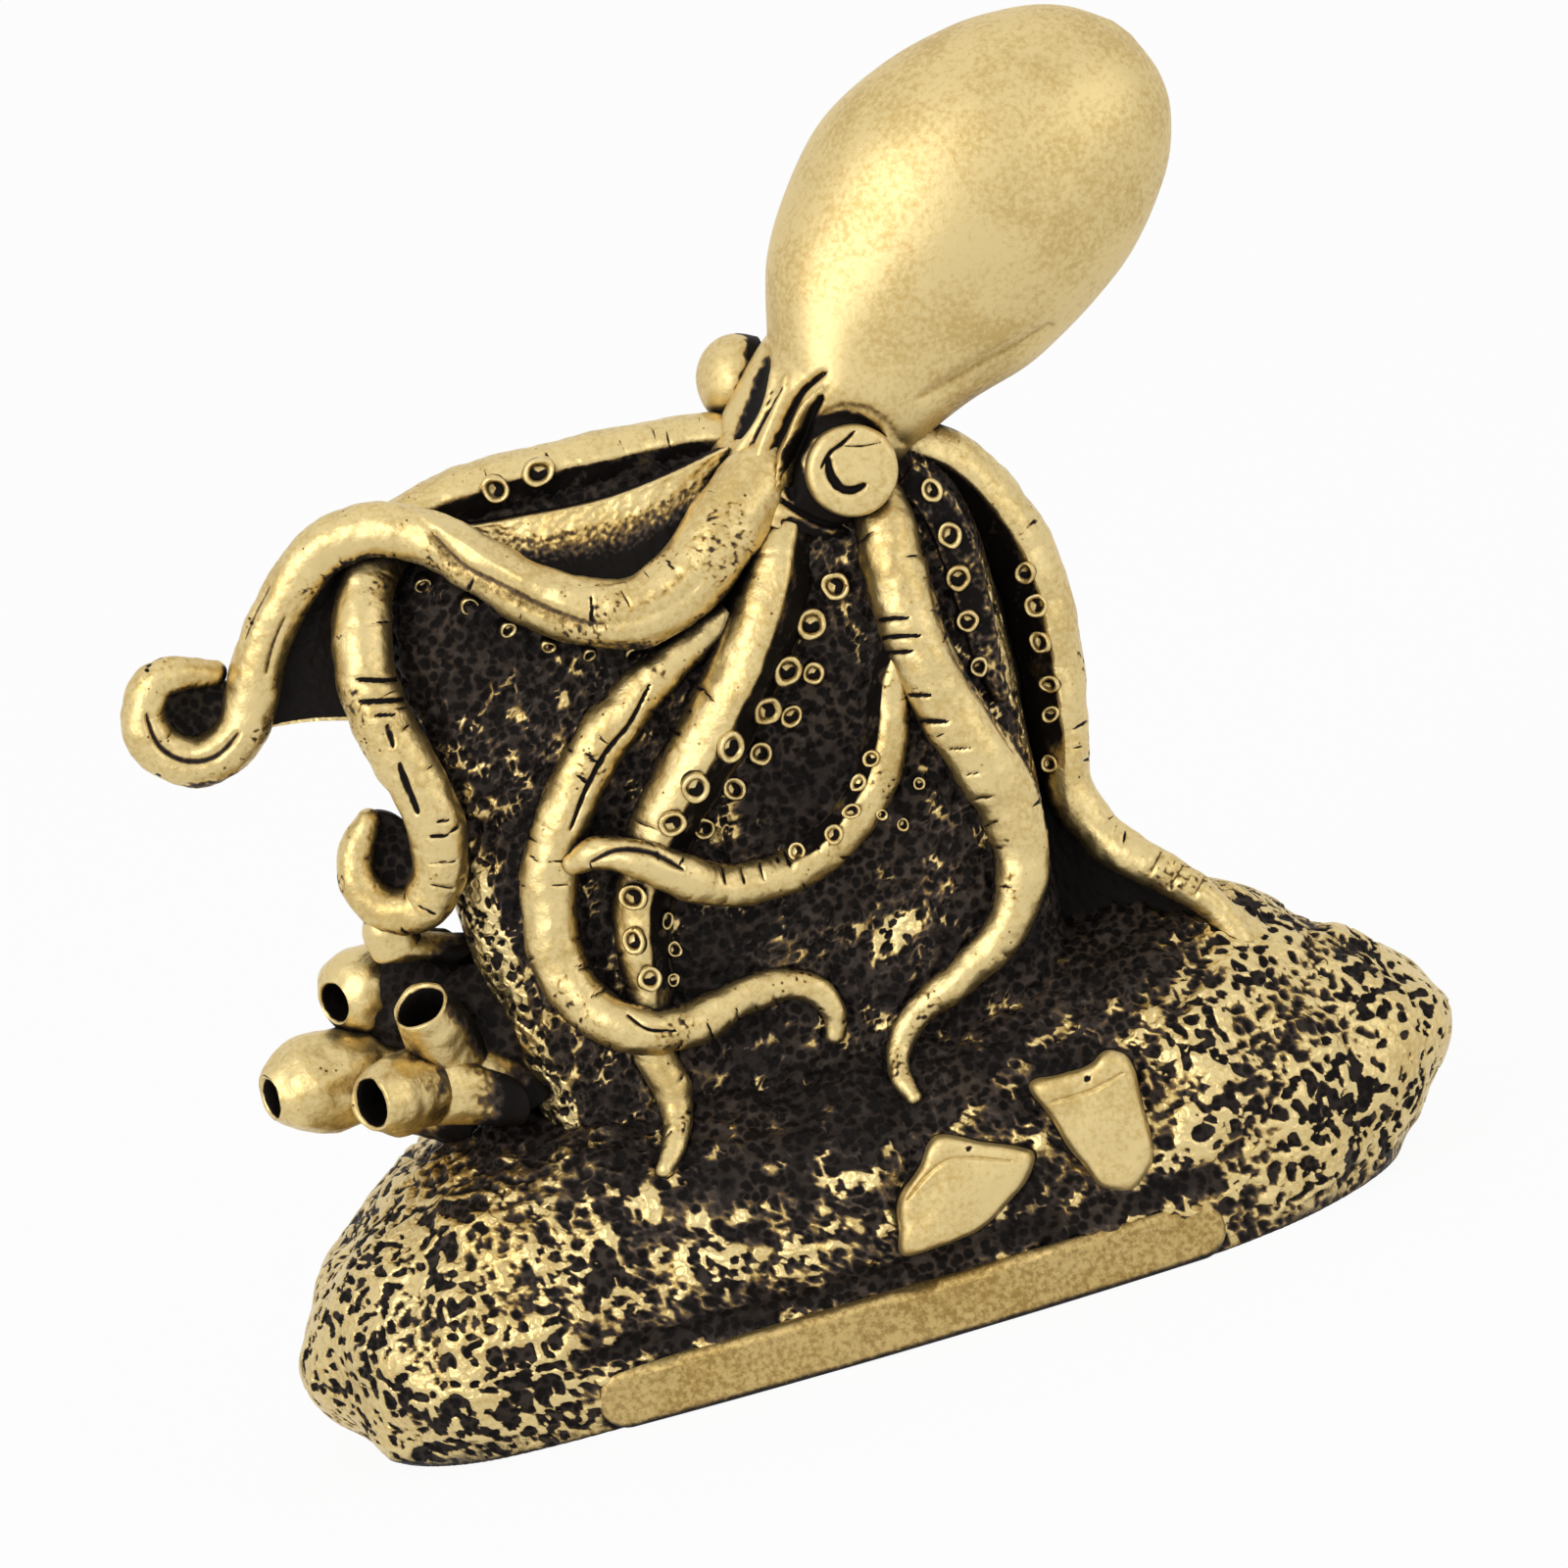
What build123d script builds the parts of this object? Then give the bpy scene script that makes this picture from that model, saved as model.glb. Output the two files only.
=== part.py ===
from build123d import *
import os
from math import asin, cos, pi, radians, sin, sqrt

# Cast figurine of an octopus draped over an upright rock on a mound
# X runs right along the plaque, Y runs to the back and Z runs up, all in millimetres
# The origin is the centre of the flat underside

# Mound
base_length = 45.8
base_depth = 18.4
base_height = 12.0

# Upright rock, whose rise is counted from the crest of the mound
rock_face_width = 20.0
rock_thickness = 10.0
rock_rise = 20.0
rock_squareness = 5
hollow_ball_radius = 4.6
hollow_depth = 0.42

# Plaque and stones at the foot
plaque_length = 24.6
plaque_height = 2.35
plaque_thickness = 2.4
plaque_proud = 0.8
plaque_end_radius = 1.1
plaque_edge_round = 0.4
plaque_bow = 0.7
stone_left_width = 6.0
stone_left_height = 4.1
stone_right_width = 4.0
stone_right_height = 5.5
stone_depth = 3.2
stone_proud = 0.9

# Tube sponges
sponge_radius = 1.35
sponge_mouth_radius = 0.75
sponge_mouth_depth = 2.2
sponge_mouth_floor_share = 0.5
sponge_mouth_flare_share = 1.4

# Octopus
mantle_length = 17.2
mantle_width = 12.4
mantle_depth = 9.6
head_width = 6.8
head_depth = 8.0
head_drop = 5.2
eye_diameter = 3.5
eye_height = 0.75
eye_seat = 0.9
arm_radius = 1.3
sucker_radius = 0.6
sucker_height = 0.32
sucker_seat = 0.5
web_thickness = 1.8
seat_blend = 1.2

# Angles of the body
mantle_angle = 38
head_top_angle = 38
head_foot_angle = 60

# Mound: place along the length, half depth, lowest and highest point, as shares of the mound's sizes
mound_shares = [
    (-1.00, 0.07, 0.26, 0.34),
    (-0.98, 0.27, 0.17, 0.42),
    (-0.935, 0.50, 0.05, 0.57),
    (-0.875, 0.76, -0.08, 0.66),
    (-0.785, 0.95, -0.18, 0.77),
    (-0.655, 1.00, -0.32, 0.92),
    (-0.435, 1.00, -0.45, 1.00),
    (0.00, 1.00, -0.50, 1.00),
    (0.435, 1.00, -0.50, 1.00),
    (0.61, 0.93, -0.40, 0.99),
    (0.74, 0.78, -0.22, 0.90),
    (0.875, 0.52, 0.03, 0.70),
    (0.96, 0.26, 0.24, 0.56),
    (1.00, 0.06, 0.38, 0.44),
]

# Rock: height above the crest as a share of the rise, left and right edge as shares of half the face
# width, and half thickness as a share of half the rock's thickness
rock_shares = [
    (-0.30, -1.09, 0.93, 1.08),
    (0.00, -1.15, 0.97, 1.05),
    (0.30, -1.22, 1.03, 1.00),
    (0.70, -1.22, 1.08, 0.94),
    (0.90, -1.20, 1.05, 0.84),
    (1.01, -1.13, 0.94, 0.66),
    (1.075, -0.95, 0.62, 0.42),
]
# Broad hollows in the rock's faces: x as a share of half the face width, z as a share of the rise and
# depth as a share of the hollow depth
back_hollow_shares = [
    (-0.92, 0.14, 0.90),
    (-0.50, 0.26, 1.00),
    (-0.02, 0.10, 0.85),
    (0.46, 0.24, 1.00),
    (0.84, 0.06, 0.80),
    (-0.86, 0.42, 0.85),
    (-0.28, 0.46, 0.95),
    (0.14, 0.34, 0.90),
    (0.78, 0.44, 1.00),
    (-0.60, 0.66, 1.00),
    (-0.08, 0.70, 0.85),
    (0.38, 0.58, 0.95),
    (-0.92, 0.82, 0.70),
]
front_hollow_shares = [
    (-0.80, 0.74, 1.00),
    (-1.00, 0.52, 0.85),
    (0.24, 0.50, 1.00),
    (0.30, 0.16, 1.00),
]

# Mantle: place along its axis, rise of the centre off the axis and half width, as shares
mantle_shares = [
    (0.00, -0.03, 0.56),
    (0.14, 0.05, 0.76),
    (0.30, 0.03, 0.93),
    (0.47, 0.02, 1.00),
    (0.64, -0.03, 0.945),
    (0.80, -0.09, 0.78),
    (0.91, -0.12, 0.56),
    (0.97, -0.13, 0.34),
    (1.00, -0.13, 0.08),
]
mantle_foot_share = (0.72, -0.12, 1.135)
head_y_share = -0.28
eye_right_share = (0.68, -1.03, 1.02)
eye_left_share = (0.345, 0.15, 1.188)
eye_right_facing = (0.15, -1.0, 0.08)
eye_left_facing = (-0.80, 0.25, 0.45)
eye_ring_share = 0.70
eye_groove_share = 0.33
eye_rim_outer_share = 0.6
eye_rim_inner_share = 0.3

# Arm routes on the front of the rock: x as a share of half the face width, z as a share of the rise,
# standoff of the centre line from the rock in its own radii, and radius as a share of the arm radius
front_centre_shares = [
    (0.43, 0.957, -0.35, 1.10),
    (0.29, 0.835, 0.30, 1.20),
    (0.13, 0.722, 0.45, 1.22),
    (-0.06, 0.615, 0.45, 1.19),
    (-0.27, 0.513, 0.45, 1.10),
    (-0.45, 0.400, 0.40, 1.00),
    (-0.56, 0.278, 0.40, 0.88),
    (-0.60, 0.160, 0.40, 0.73),
    (-0.65, 0.058, 0.35, 0.65),
    (-0.63, -0.029, 0.40, 0.58),
    (-0.64, -0.080, 0.45, 0.46),
    (-0.68, -0.125, 0.50, 0.38),
    (-0.74, -0.156, 0.50, 0.30),
]
front_right_shares = [
    (0.74, 0.950, -0.70, 0.92),
    (0.74, 0.876, 0.05, 0.94),
    (0.73, 0.778, 0.45, 0.95),
    (0.73, 0.661, 0.60, 0.96),
    (0.77, 0.533, 0.60, 0.96),
    (0.85, 0.405, 0.60, 1.00),
    (0.895, 0.303, 0.60, 0.92),
    (0.89, 0.211, 0.60, 0.81),
    (0.83, 0.129, 0.60, 0.73),
    (0.70, 0.063, 0.60, 0.62),
    (0.53, 0.017, 0.60, 0.54),
    (0.36, -0.018, 0.60, 0.46),
    (0.25, -0.070, 0.60, 0.38),
    (0.21, -0.115, 0.60, 0.32),
    (0.24, -0.160, 0.60, 0.23),
]
front_left_shares = [
    (0.09, 0.809, 0.40, 0.62),
    (-0.15, 0.758, 0.50, 0.65),
    (-0.35, 0.707, 0.55, 0.73),
    (-0.55, 0.630, 0.55, 0.81),
    (-0.72, 0.533, 0.55, 0.85),
    (-0.84, 0.431, 0.55, 0.85),
    (-0.89, 0.329, 0.60, 0.85),
    (-0.89, 0.237, 0.75, 0.81),
    (-0.82, 0.160, 1.10, 0.77),
    (-0.68, 0.104, 1.45, 0.73),
    (-0.50, 0.083, 1.10, 0.65),
    (-0.30, 0.099, 0.70, 0.58),
    (-0.12, 0.104, 0.55, 0.50),
    (0.00, 0.073, 0.50, 0.42),
    (0.04, 0.022, 0.50, 0.35),
    (0.02, -0.018, 0.50, 0.27),
]
hooked_shares = [
    (0.70, 0.676, 0.70, 0.54),
    (0.60, 0.600, 0.60, 0.62),
    (0.55, 0.533, 0.55, 0.65),
    (0.49, 0.467, 0.55, 0.65),
    (0.40, 0.405, 0.55, 0.65),
    (0.26, 0.349, 0.55, 0.65),
    (0.10, 0.313, 0.60, 0.65),
    (-0.07, 0.308, 0.80, 0.65),
    (-0.23, 0.324, 1.30, 0.65),
    (-0.36, 0.370, 2.10, 0.65),
    (-0.50, 0.426, 2.70, 0.58),
    (-0.63, 0.457, 2.80, 0.50),
    (-0.74, 0.451, 2.90, 0.38),
]
rock_edge_shares = [
    (0.87, 0.955, 0.60, 0.50),
    (0.94, 0.900, 0.60, 0.54),
    (0.975, 0.830, 0.60, 0.56),
    (0.98, 0.745, 0.60, 0.54),
    (0.975, 0.660, 0.55, 0.48),
    (0.97, 0.580, 0.50, 0.40),
    (0.98, 0.510, 0.50, 0.30),
]

# Arm routes that leave the rock: x as a share of half the face width, y as a share of half the rock's
# thickness, z as a share of the rise, and radius as a share of the arm radius
long_left_shares = [
    (0.34, -0.78, 1.030, 1.12),
    (0.15, -1.00, 0.965, 1.16),
    (-0.03, -1.12, 0.900, 1.12),
    (-0.22, -1.18, 0.872, 1.06),
    (-0.41, -1.18, 0.896, 1.00),
    (-0.60, -1.12, 0.955, 0.92),
    (-0.75, -1.00, 1.030, 0.86),
    (-0.91, -0.84, 1.100, 0.82),
    (-1.10, -0.72, 1.142, 0.80),
    (-1.30, -0.66, 1.134, 0.80),
    (-1.49, -0.64, 1.066, 0.80),
    (-1.64, -0.62, 0.978, 0.76),
    (-1.73, -0.60, 0.894, 0.74),
    (-1.84, -0.60, 0.825, 0.74),
    (-1.99, -0.60, 0.803, 0.74),
    (-2.11, -0.60, 0.844, 0.72),
    (-2.145, -0.60, 0.916, 0.66),
    (-2.07, -0.60, 0.972, 0.58),
    (-1.95, -0.60, 0.970, 0.46),
]
over_top_shares = [
    (0.30, -0.20, 1.078, 0.92),
    (0.12, -0.16, 1.092, 1.04),
    (-0.10, -0.14, 1.100, 1.08),
    (-0.35, -0.14, 1.110, 1.08),
    (-0.60, -0.16, 1.117, 1.08),
    (-0.83, -0.20, 1.114, 1.04),
    (-1.03, -0.30, 1.099, 0.96),
    (-1.16, -0.52, 1.060, 0.88),
    (-1.25, -0.76, 0.980, 0.88),
    (-1.29, -0.90, 0.875, 0.92),
    (-1.27, -0.96, 0.771, 0.92),
    (-1.22, -0.98, 0.670, 0.88),
    (-1.20, -0.96, 0.567, 0.85),
    (-1.24, -0.90, 0.482, 0.81),
    (-1.35, -0.84, 0.427, 0.73),
    (-1.48, -0.78, 0.445, 0.65),
    (-1.54, -0.74, 0.504, 0.58),
    (-1.51, -0.72, 0.568, 0.50),
    (-1.44, -0.72, 0.610, 0.38),
]
side_right_shares = [
    (0.86, -0.32, 0.992, 0.92),
    (1.03, -0.24, 0.932, 1.00),
    (1.14, -0.20, 0.838, 1.04),
    (1.205, -0.20, 0.736, 1.04),
    (1.22, -0.20, 0.629, 1.04),
    (1.20, -0.22, 0.502, 0.96),
    (1.16, -0.26, 0.376, 0.88),
    (1.13, -0.32, 0.272, 0.77),
    (1.18, -0.40, 0.190, 0.69),
    (1.28, -0.52, 0.124, 0.65),
    (1.42, -0.60, 0.056, 0.58),
    (1.54, -0.64, -0.018, 0.50),
    (1.60, -0.72, -0.090, 0.38),
    (1.59, -0.74, -0.125, 0.31),
]

# Suckers: place along the arm as a share of its points, turn about the arm's axis in degrees from
# straight ahead, and radius as a share of the sucker radius
front_centre_suckers_shares = [
    (0.13, 62, 1.00),
    (0.20, 62, 1.05),
    (0.27, 62, 1.05),
    (0.34, 60, 1.00),
    (0.41, 58, 0.98),
    (0.475, 52, 0.95),
    (0.54, 46, 0.90),
    (0.66, 30, 0.75),
    (0.72, 24, 0.68),
]
long_left_suckers_shares = [
    (0.18, -82, 0.75),
    (0.24, -82, 0.80),
    (0.30, -82, 0.80),
    (0.36, -80, 0.78),
    (0.42, -78, 0.72),
]
over_top_suckers_shares = [
    (0.185, 8, 1.10),
    (0.235, 8, 1.00),
]
hooked_suckers_shares = [
    (0.20, -52, 0.62),
    (0.28, -52, 0.66),
    (0.36, -50, 0.68),
    (0.44, -48, 0.64),
    (0.51, -46, 0.58),
]
rock_edge_suckers_shares = [
    (0.20, 0, 0.80),
    (0.33, 0, 0.85),
    (0.46, 0, 0.82),
    (0.59, 0, 0.76),
]
side_right_suckers_shares = [
    (0.23, 52, 0.90),
    (0.30, 52, 0.90),
    (0.37, 52, 0.85),
    (0.44, 50, 0.80),
    (0.50, 46, 0.72),
]
sucker_bore_share = 0.52
sucker_bore_depth_share = 0.70

# Tube sponges: mouth and root, each as shares of half the face width, half the thickness and the rise,
# and radius as a share of the sponge radius
sponge_shares = [
    ((-1.77, -0.24, 0.265), (-1.10, 0.10, 0.150), 1.00),
    ((-1.45, -1.02, 0.255), (-1.12, -0.70, 0.010), 0.95),
    ((-2.12, -0.40, 0.133), (-1.45, -0.20, -0.050), 1.15),
    ((-1.73, -1.20, 0.110), (-1.18, -0.95, -0.030), 1.00),
    ((-1.52, -0.50, 0.385), (-1.12, -0.30, 0.270), 0.70),
]
# Along a sponge: place from root to mouth and radius, as shares
sponge_form_shares = [(0.0, 1.10), (0.35, 1.15), (0.70, 1.05), (1.0, 0.80)]

# Stones: outlines as shares of each stone's width and height, and how much its front face is drawn in
stone_left_shares = [
    (-0.50, -0.50),
    (0.05, -0.48),
    (0.42, -0.08),
    (0.50, 0.10),
    (-0.07, 0.50),
    (-0.43, 0.02),
]
stone_right_shares = [
    (-0.50, 0.42),
    (-0.30, -0.08),
    (-0.10, -0.44),
    (0.15, -0.50),
    (0.36, -0.42),
    (0.48, -0.28),
    (0.50, 0.22),
    (0.45, 0.42),
    (0.30, 0.50),
]
stone_left_place_share = (0.140, 0.470)
stone_right_place_share = (0.385, 0.520)
stone_front_share = 0.74

# Webs of skin: outlines as shares of half the face width and of the rise, and their y place
web_upper_shares = [
    (-0.80, 1.09),
    (-0.72, 1.02),
    (-0.55, 0.94),
    (-0.38, 0.90),
    (-0.18, 0.89),
    (0.02, 0.93),
    (0.24, 1.00),
    (0.36, 1.06),
    (0.10, 1.08),
    (-0.40, 1.09),
]
web_left_shares = [
    (-1.70, 0.90),
    (-1.62, 0.99),
    (-1.46, 1.08),
    (-1.24, 1.12),
    (-1.20, 1.00),
    (-1.24, 0.84),
    (-1.40, 0.83),
    (-1.58, 0.82),
]
web_upper_y_share = -0.80
web_left_y_share = -0.66

# How finely the swept forms are divided
rock_section_points = 28
spans_per_point = 1
heading_step_share = 0.2
tip_round_shares = [(0.45, 0.90), (0.80, 0.62), (0.97, 0.26)]
smallest_piece_share = 0.02

half_face = rock_face_width / 2
half_rock = rock_thickness / 2
rock_top = base_height + rock_rise


def between(low, high, share):
    """The value a share of the way from low to high."""
    return low + (high - low) * share


def row_at(rows, key):
    """The row of a table at a key that is its first column, with straight lines between the rows."""
    if key <= rows[0][0]:
        return rows[0]
    for low, high in zip(rows, rows[1:]):
        if key <= high[0]:
            share = (key - low[0]) / (high[0] - low[0])
            return tuple(between(a, b, share) for a, b in zip(low, high))
    return rows[-1]


def height(share):
    """The height of a share of the rock's rise."""
    return base_height + share * rock_rise


def mound_front(x, z):
    """How far the mound reaches forward of the middle plane at a place."""
    _, depth, low, high = row_at(mound_shares, x / (base_length / 2))
    centre = (low + high) / 2 * base_height
    half = (high - low) / 2 * base_height
    inside = 1 - ((z - centre) / half) ** 2
    return depth * base_depth / 2 * sqrt(inside) if inside > 0 else 0


def rock_front(x, z):
    """How far the rock reaches forward of the middle plane at a place."""
    _, left, right, depth = row_at(rock_shares, (z - base_height) / rock_rise)
    centre = (left + right) / 2 * half_face
    half = (right - left) / 2 * half_face
    inside = 1 - (abs(x - centre) / half) ** rock_squareness
    return depth * half_rock * inside ** (1 / rock_squareness) if inside > 0 else 0


def seated_route(rows):
    """Centre points and radii of an arm that lies on the front of the rock and the mound."""
    route = []
    for x_share, z_share, standoff, radius_share in rows:
        x, z, radius = x_share * half_face, height(z_share), radius_share * arm_radius
        mound, rock = mound_front(x, z), rock_front(x, z)
        front = max(mound, rock) + max(seat_blend - abs(mound - rock), 0) ** 2 / (4 * seat_blend)
        route.append((x, -front - standoff * radius, z, radius))
    return route


def free_route(rows):
    """Centre points and radii of an arm that leaves the rock."""
    return [
        (x_share * half_face, y_share * half_rock, height(z_share), radius_share * arm_radius)
        for x_share, y_share, z_share, radius_share in rows
    ]


def eased(a, b, c, d, t):
    """One value on the smooth curve from b to c, with a and d as its neighbours."""
    return 0.5 * (
        2 * b + (c - a) * t + (2 * a - 5 * b + 4 * c - d) * t**2 + (3 * b - a - 3 * c + d) * t**3
    )


def along(route, place):
    """Centre and radius at a place from 0 to 1 on the smooth curve through a route's points."""
    spans = len(route) - 1
    index = min(int(place * spans), spans - 1)
    share = place * spans - index
    before = route[max(index - 1, 0)]
    after = route[min(index + 2, spans)]
    values = zip(before, route[index], route[index + 1], after)
    x, y, z, radius = (eased(*value, share) for value in values)
    return Vector(x, y, z), radius


def heading(route, place):
    """The direction of a route at a place."""
    step = heading_step_share / (len(route) - 1)
    start, _ = along(route, max(place - step, 0))
    end, _ = along(route, min(place + step, 1))
    return (end - start).normalized()


def ring(centre, direction, radius):
    """A round section square to a direction, with its seam at the back."""
    return Plane(origin=centre, x_dir=(0, 1, 0), z_dir=direction) * Circle(radius)


def arm(route):
    """A round tapering arm along a route, with a rounded tip."""
    steps = (len(route) - 1) * spans_per_point
    sections = [
        ring(along(route, k / steps)[0], heading(route, k / steps), along(route, k / steps)[1])
        for k in range(steps + 1)
    ]
    tip, radius = along(route, 1)
    end = heading(route, 1)
    for reach, width in tip_round_shares:
        sections.append(ring(tip + end * (radius * reach), end, radius * width))
    return loft(sections)


def seated(piece, carriers):
    """A piece with what its carriers already fill taken away, so that they meet face to face."""
    whole = piece.volume
    box = piece.bounding_box()
    for carrier, carrier_box in carriers:
        if box.overlaps(carrier_box):
            piece = piece - carrier
    kept = [s for s in piece.solids() if s.volume > smallest_piece_share * whole]
    return kept[0] if len(kept) == 1 else Compound(kept)


def make_mound():
    """Long rounded rock, cut flat underneath."""
    sections = []
    for place, depth, low, high in mound_shares:
        centre = (place * base_length / 2, 0, (low + high) / 2 * base_height)
        plane = Plane(origin=centre, x_dir=(0, 1, 0), z_dir=(1, 0, 0))
        sections.append(plane * Ellipse(depth * base_depth / 2, (high - low) / 2 * base_height))
    below = Box(2 * base_length, 2 * base_depth, base_height, align=(Align.CENTER, Align.CENTER, Align.MAX))
    return loft(sections) - below


def make_hollows(rows, front_sign):
    """Balls that press broad hollows into one face of the rock."""
    balls = []
    for x_share, z_share, depth_share in rows:
        x, z = x_share * half_face, height(z_share)
        reach = rock_front(x, z) - hollow_depth * depth_share + hollow_ball_radius
        balls.append(Pos(x, front_sign * reach, z) * Sphere(hollow_ball_radius))
    return balls


def make_rock():
    """Upright slab with rounded corners, drawn in at the top, with broad hollows in both faces."""
    sections = []
    for rise, left, right, depth in rock_shares:
        half, deep = (right - left) / 2 * half_face, depth * half_rock
        points = []
        for k in range(rock_section_points):
            turn = pi / 2 + 2 * pi * k / rock_section_points
            along_x, along_y = cos(turn), sin(turn)
            x = half * abs(along_x) ** (2 / rock_squareness) * (1 if along_x > 0 else -1)
            y = deep * abs(along_y) ** (2 / rock_squareness) * (1 if along_y > 0 else -1)
            points.append((x, y))
        outline = make_face(Spline(*points, periodic=True))
        sections.append(Plane(origin=((left + right) / 2 * half_face, 0, height(rise))) * outline)
    return loft(sections) - [*make_hollows(back_hollow_shares, 1), *make_hollows(front_hollow_shares, -1)]


def make_plaque():
    """Bare bar with round ends, bowed forward a little along the foot of the mound."""
    front = mound_front(0, plaque_height / 2) + plaque_proud
    outline = Plane.XZ * Pos(0, plaque_height / 2) * RectangleRounded(
        plaque_length, plaque_height, plaque_end_radius
    )
    bar = extrude(outline, front, both=True)
    half = plaque_length / 2
    bow = ThreePointArc((-half, -front + plaque_bow), (0, -front), (half, -front + plaque_bow))
    back = -front + plaque_thickness
    sides = Polyline((half, -front + plaque_bow), (half, back), (-half, back), (-half, -front + plaque_bow))
    curved = extrude(make_face(bow + sides), plaque_height)
    bar = bar & curved
    front_edges = bar.edges().filter_by(lambda e: e.center().Y < -front + plaque_bow)
    return fillet(front_edges, plaque_edge_round)


def make_stone(outline_shares, place_share, width, tall):
    """Smooth faceted stone that leans on the front of the mound."""
    x = place_share[0] * base_length / 2
    z = place_share[1] * base_height
    front = mound_front(x, z) + stone_proud
    faces = []
    for reach, size in ((front - stone_depth, 1), (front, stone_front_share)):
        points = [(x + a * width * size, z + b * tall * size) for a, b in outline_shares]
        plane = Plane(origin=(0, -reach, 0), x_dir=(1, 0, 0), z_dir=(0, -1, 0))
        faces.append(plane * Polygon(*points, align=None))
    return loft(faces, ruled=True)


def make_sponge(mouth_share, root_share, size):
    """Tube sponge with an open blind mouth."""
    mouth = Vector(mouth_share[0] * half_face, mouth_share[1] * half_rock, height(mouth_share[2]))
    root = Vector(root_share[0] * half_face, root_share[1] * half_rock, height(root_share[2]))
    way = (mouth - root).normalized()
    sections = [
        ring(root + (mouth - root) * place, way, width * size * sponge_radius)
        for place, width in sponge_form_shares
    ]
    bore = sponge_mouth_radius * size
    floor = ring(mouth - way * (sponge_mouth_depth * size), way, bore * sponge_mouth_floor_share)
    rim = ring(mouth + way * sponge_mouth_depth, way, bore * sponge_mouth_flare_share)
    return loft(sections) - loft([floor, rim])


def make_mantle(foot):
    """Smooth egg-shaped body, flattened front to back."""
    axis = Vector(cos(radians(mantle_angle)), 0, sin(radians(mantle_angle)))
    side = Vector(-axis.Z, 0, axis.X)
    sections = []
    for place, off, width in mantle_shares:
        centre = foot + axis * (place * mantle_length) + side * (off * mantle_width / 2)
        plane = Plane(origin=centre, x_dir=side, z_dir=axis)
        sections.append(plane * Ellipse(width * mantle_width / 2, width * mantle_depth / 2))
    return loft(sections)


def make_head(foot):
    """Neck and head, from inside the mantle's foot down onto the rock."""
    sections = []
    steps = 3
    centre = foot + Vector(0, head_y_share * half_rock - foot.Y, 0)
    for k in range(steps + 1):
        angle = radians(between(head_top_angle, head_foot_angle, k / steps))
        axis = Vector(cos(angle), 0, sin(angle))
        plane = Plane(origin=centre, x_dir=(-axis.Z, 0, axis.X), z_dir=axis)
        sections.append(plane * Ellipse(head_width / 2, head_depth / 2))
        centre = centre - axis * (head_drop / steps)
    return loft(sections)


def make_eye(place_share, facing):
    """Round eye: a low dome inside a raised rim."""
    centre = Vector(place_share[0] * half_face, place_share[1] * half_rock, height(place_share[2]))
    radius = eye_diameter / 2
    ring_radius = eye_ring_share * radius
    groove = eye_height * eye_groove_share
    rim_outer = between(ring_radius, radius, eye_rim_outer_share)
    rim_inner = between(ring_radius, radius, eye_rim_inner_share)
    outline = Polyline(
        (0, eye_height), (0, -eye_seat), (radius, -eye_seat), (radius, groove),
        (rim_outer, eye_height), (rim_inner, eye_height), (ring_radius, groove),
    )
    rise = eye_height - groove
    ball_radius = (ring_radius**2 + rise**2) / (2 * rise)
    half_turn = asin(ring_radius / ball_radius) / 2
    middle = (ball_radius * sin(half_turn), eye_height - ball_radius * (1 - cos(half_turn)))
    dome = ThreePointArc((ring_radius, groove), middle, (0, eye_height))
    profile = make_face(outline + dome)
    return Plane(origin=centre, z_dir=facing) * revolve(Plane.XZ * profile, Axis.Z)


def make_suckers(route, rows):
    """Rings with blind mouths that sit on an arm."""
    rings = []
    on_seat = (Align.CENTER, Align.CENTER, Align.MIN)
    for place, turn, size in rows:
        centre, radius = along(route, place)
        way = heading(route, place)
        ahead = Vector(0, -1, 0) - way * way.dot(Vector(0, -1, 0))
        out = ahead.normalized().rotate(Axis((0, 0, 0), way), turn)
        outer = sucker_radius * size
        seat = Plane(origin=centre + out * radius, z_dir=out)
        deep = sucker_bore_depth_share * sucker_height
        body = Cylinder(outer, sucker_seat + sucker_height, align=on_seat)
        bore = Cylinder(outer * sucker_bore_share, sucker_height, align=on_seat)
        rings.append(seat * (Pos(0, 0, -sucker_seat) * body - Pos(0, 0, sucker_height - deep) * bore))
    return rings


def make_web(outline_shares, y_share):
    """Sheet of skin between two arms."""
    points = [(x * half_face, height(z)) for x, z in outline_shares]
    y = y_share * half_rock
    plane = Plane(origin=(0, y, 0), x_dir=(1, 0, 0), z_dir=(0, -1, 0))
    return extrude(plane * Polygon(*points, align=None), web_thickness / 2, both=True)


# The pieces in the order in which they are placed: each later piece is cut to fit what is already there
nodes = {}
placed = []


def add(name, *pieces):
    """Fits pieces to all that is placed before them and keeps them under one name."""
    fitted = [seated(piece, placed) for piece in pieces]
    nodes[name] = fitted[0] if len(fitted) == 1 else Compound([s for one in fitted for s in one.solids()])
    placed.extend((piece, piece.bounding_box()) for piece in pieces)


add("base_mound", make_mound())
add("rock_slab", make_rock())
add("plaque", make_plaque())
add("stone_left", make_stone(stone_left_shares, stone_left_place_share, stone_left_width, stone_left_height))
add(
    "stone_right",
    make_stone(stone_right_shares, stone_right_place_share, stone_right_width, stone_right_height),
)
for number, (mouth_share, root_share, size) in enumerate(sponge_shares, 1):
    add(f"tube_sponge_{number}", make_sponge(mouth_share, root_share, size))

foot_x, foot_y, foot_z = mantle_foot_share
mantle_foot = Vector(foot_x * half_face, foot_y * half_rock, height(foot_z))
add("mantle", make_mantle(mantle_foot))
add("head", make_head(mantle_foot))
add("eye_right", make_eye(eye_right_share, eye_right_facing))
add("eye_left", make_eye(eye_left_share, eye_left_facing))

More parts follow.
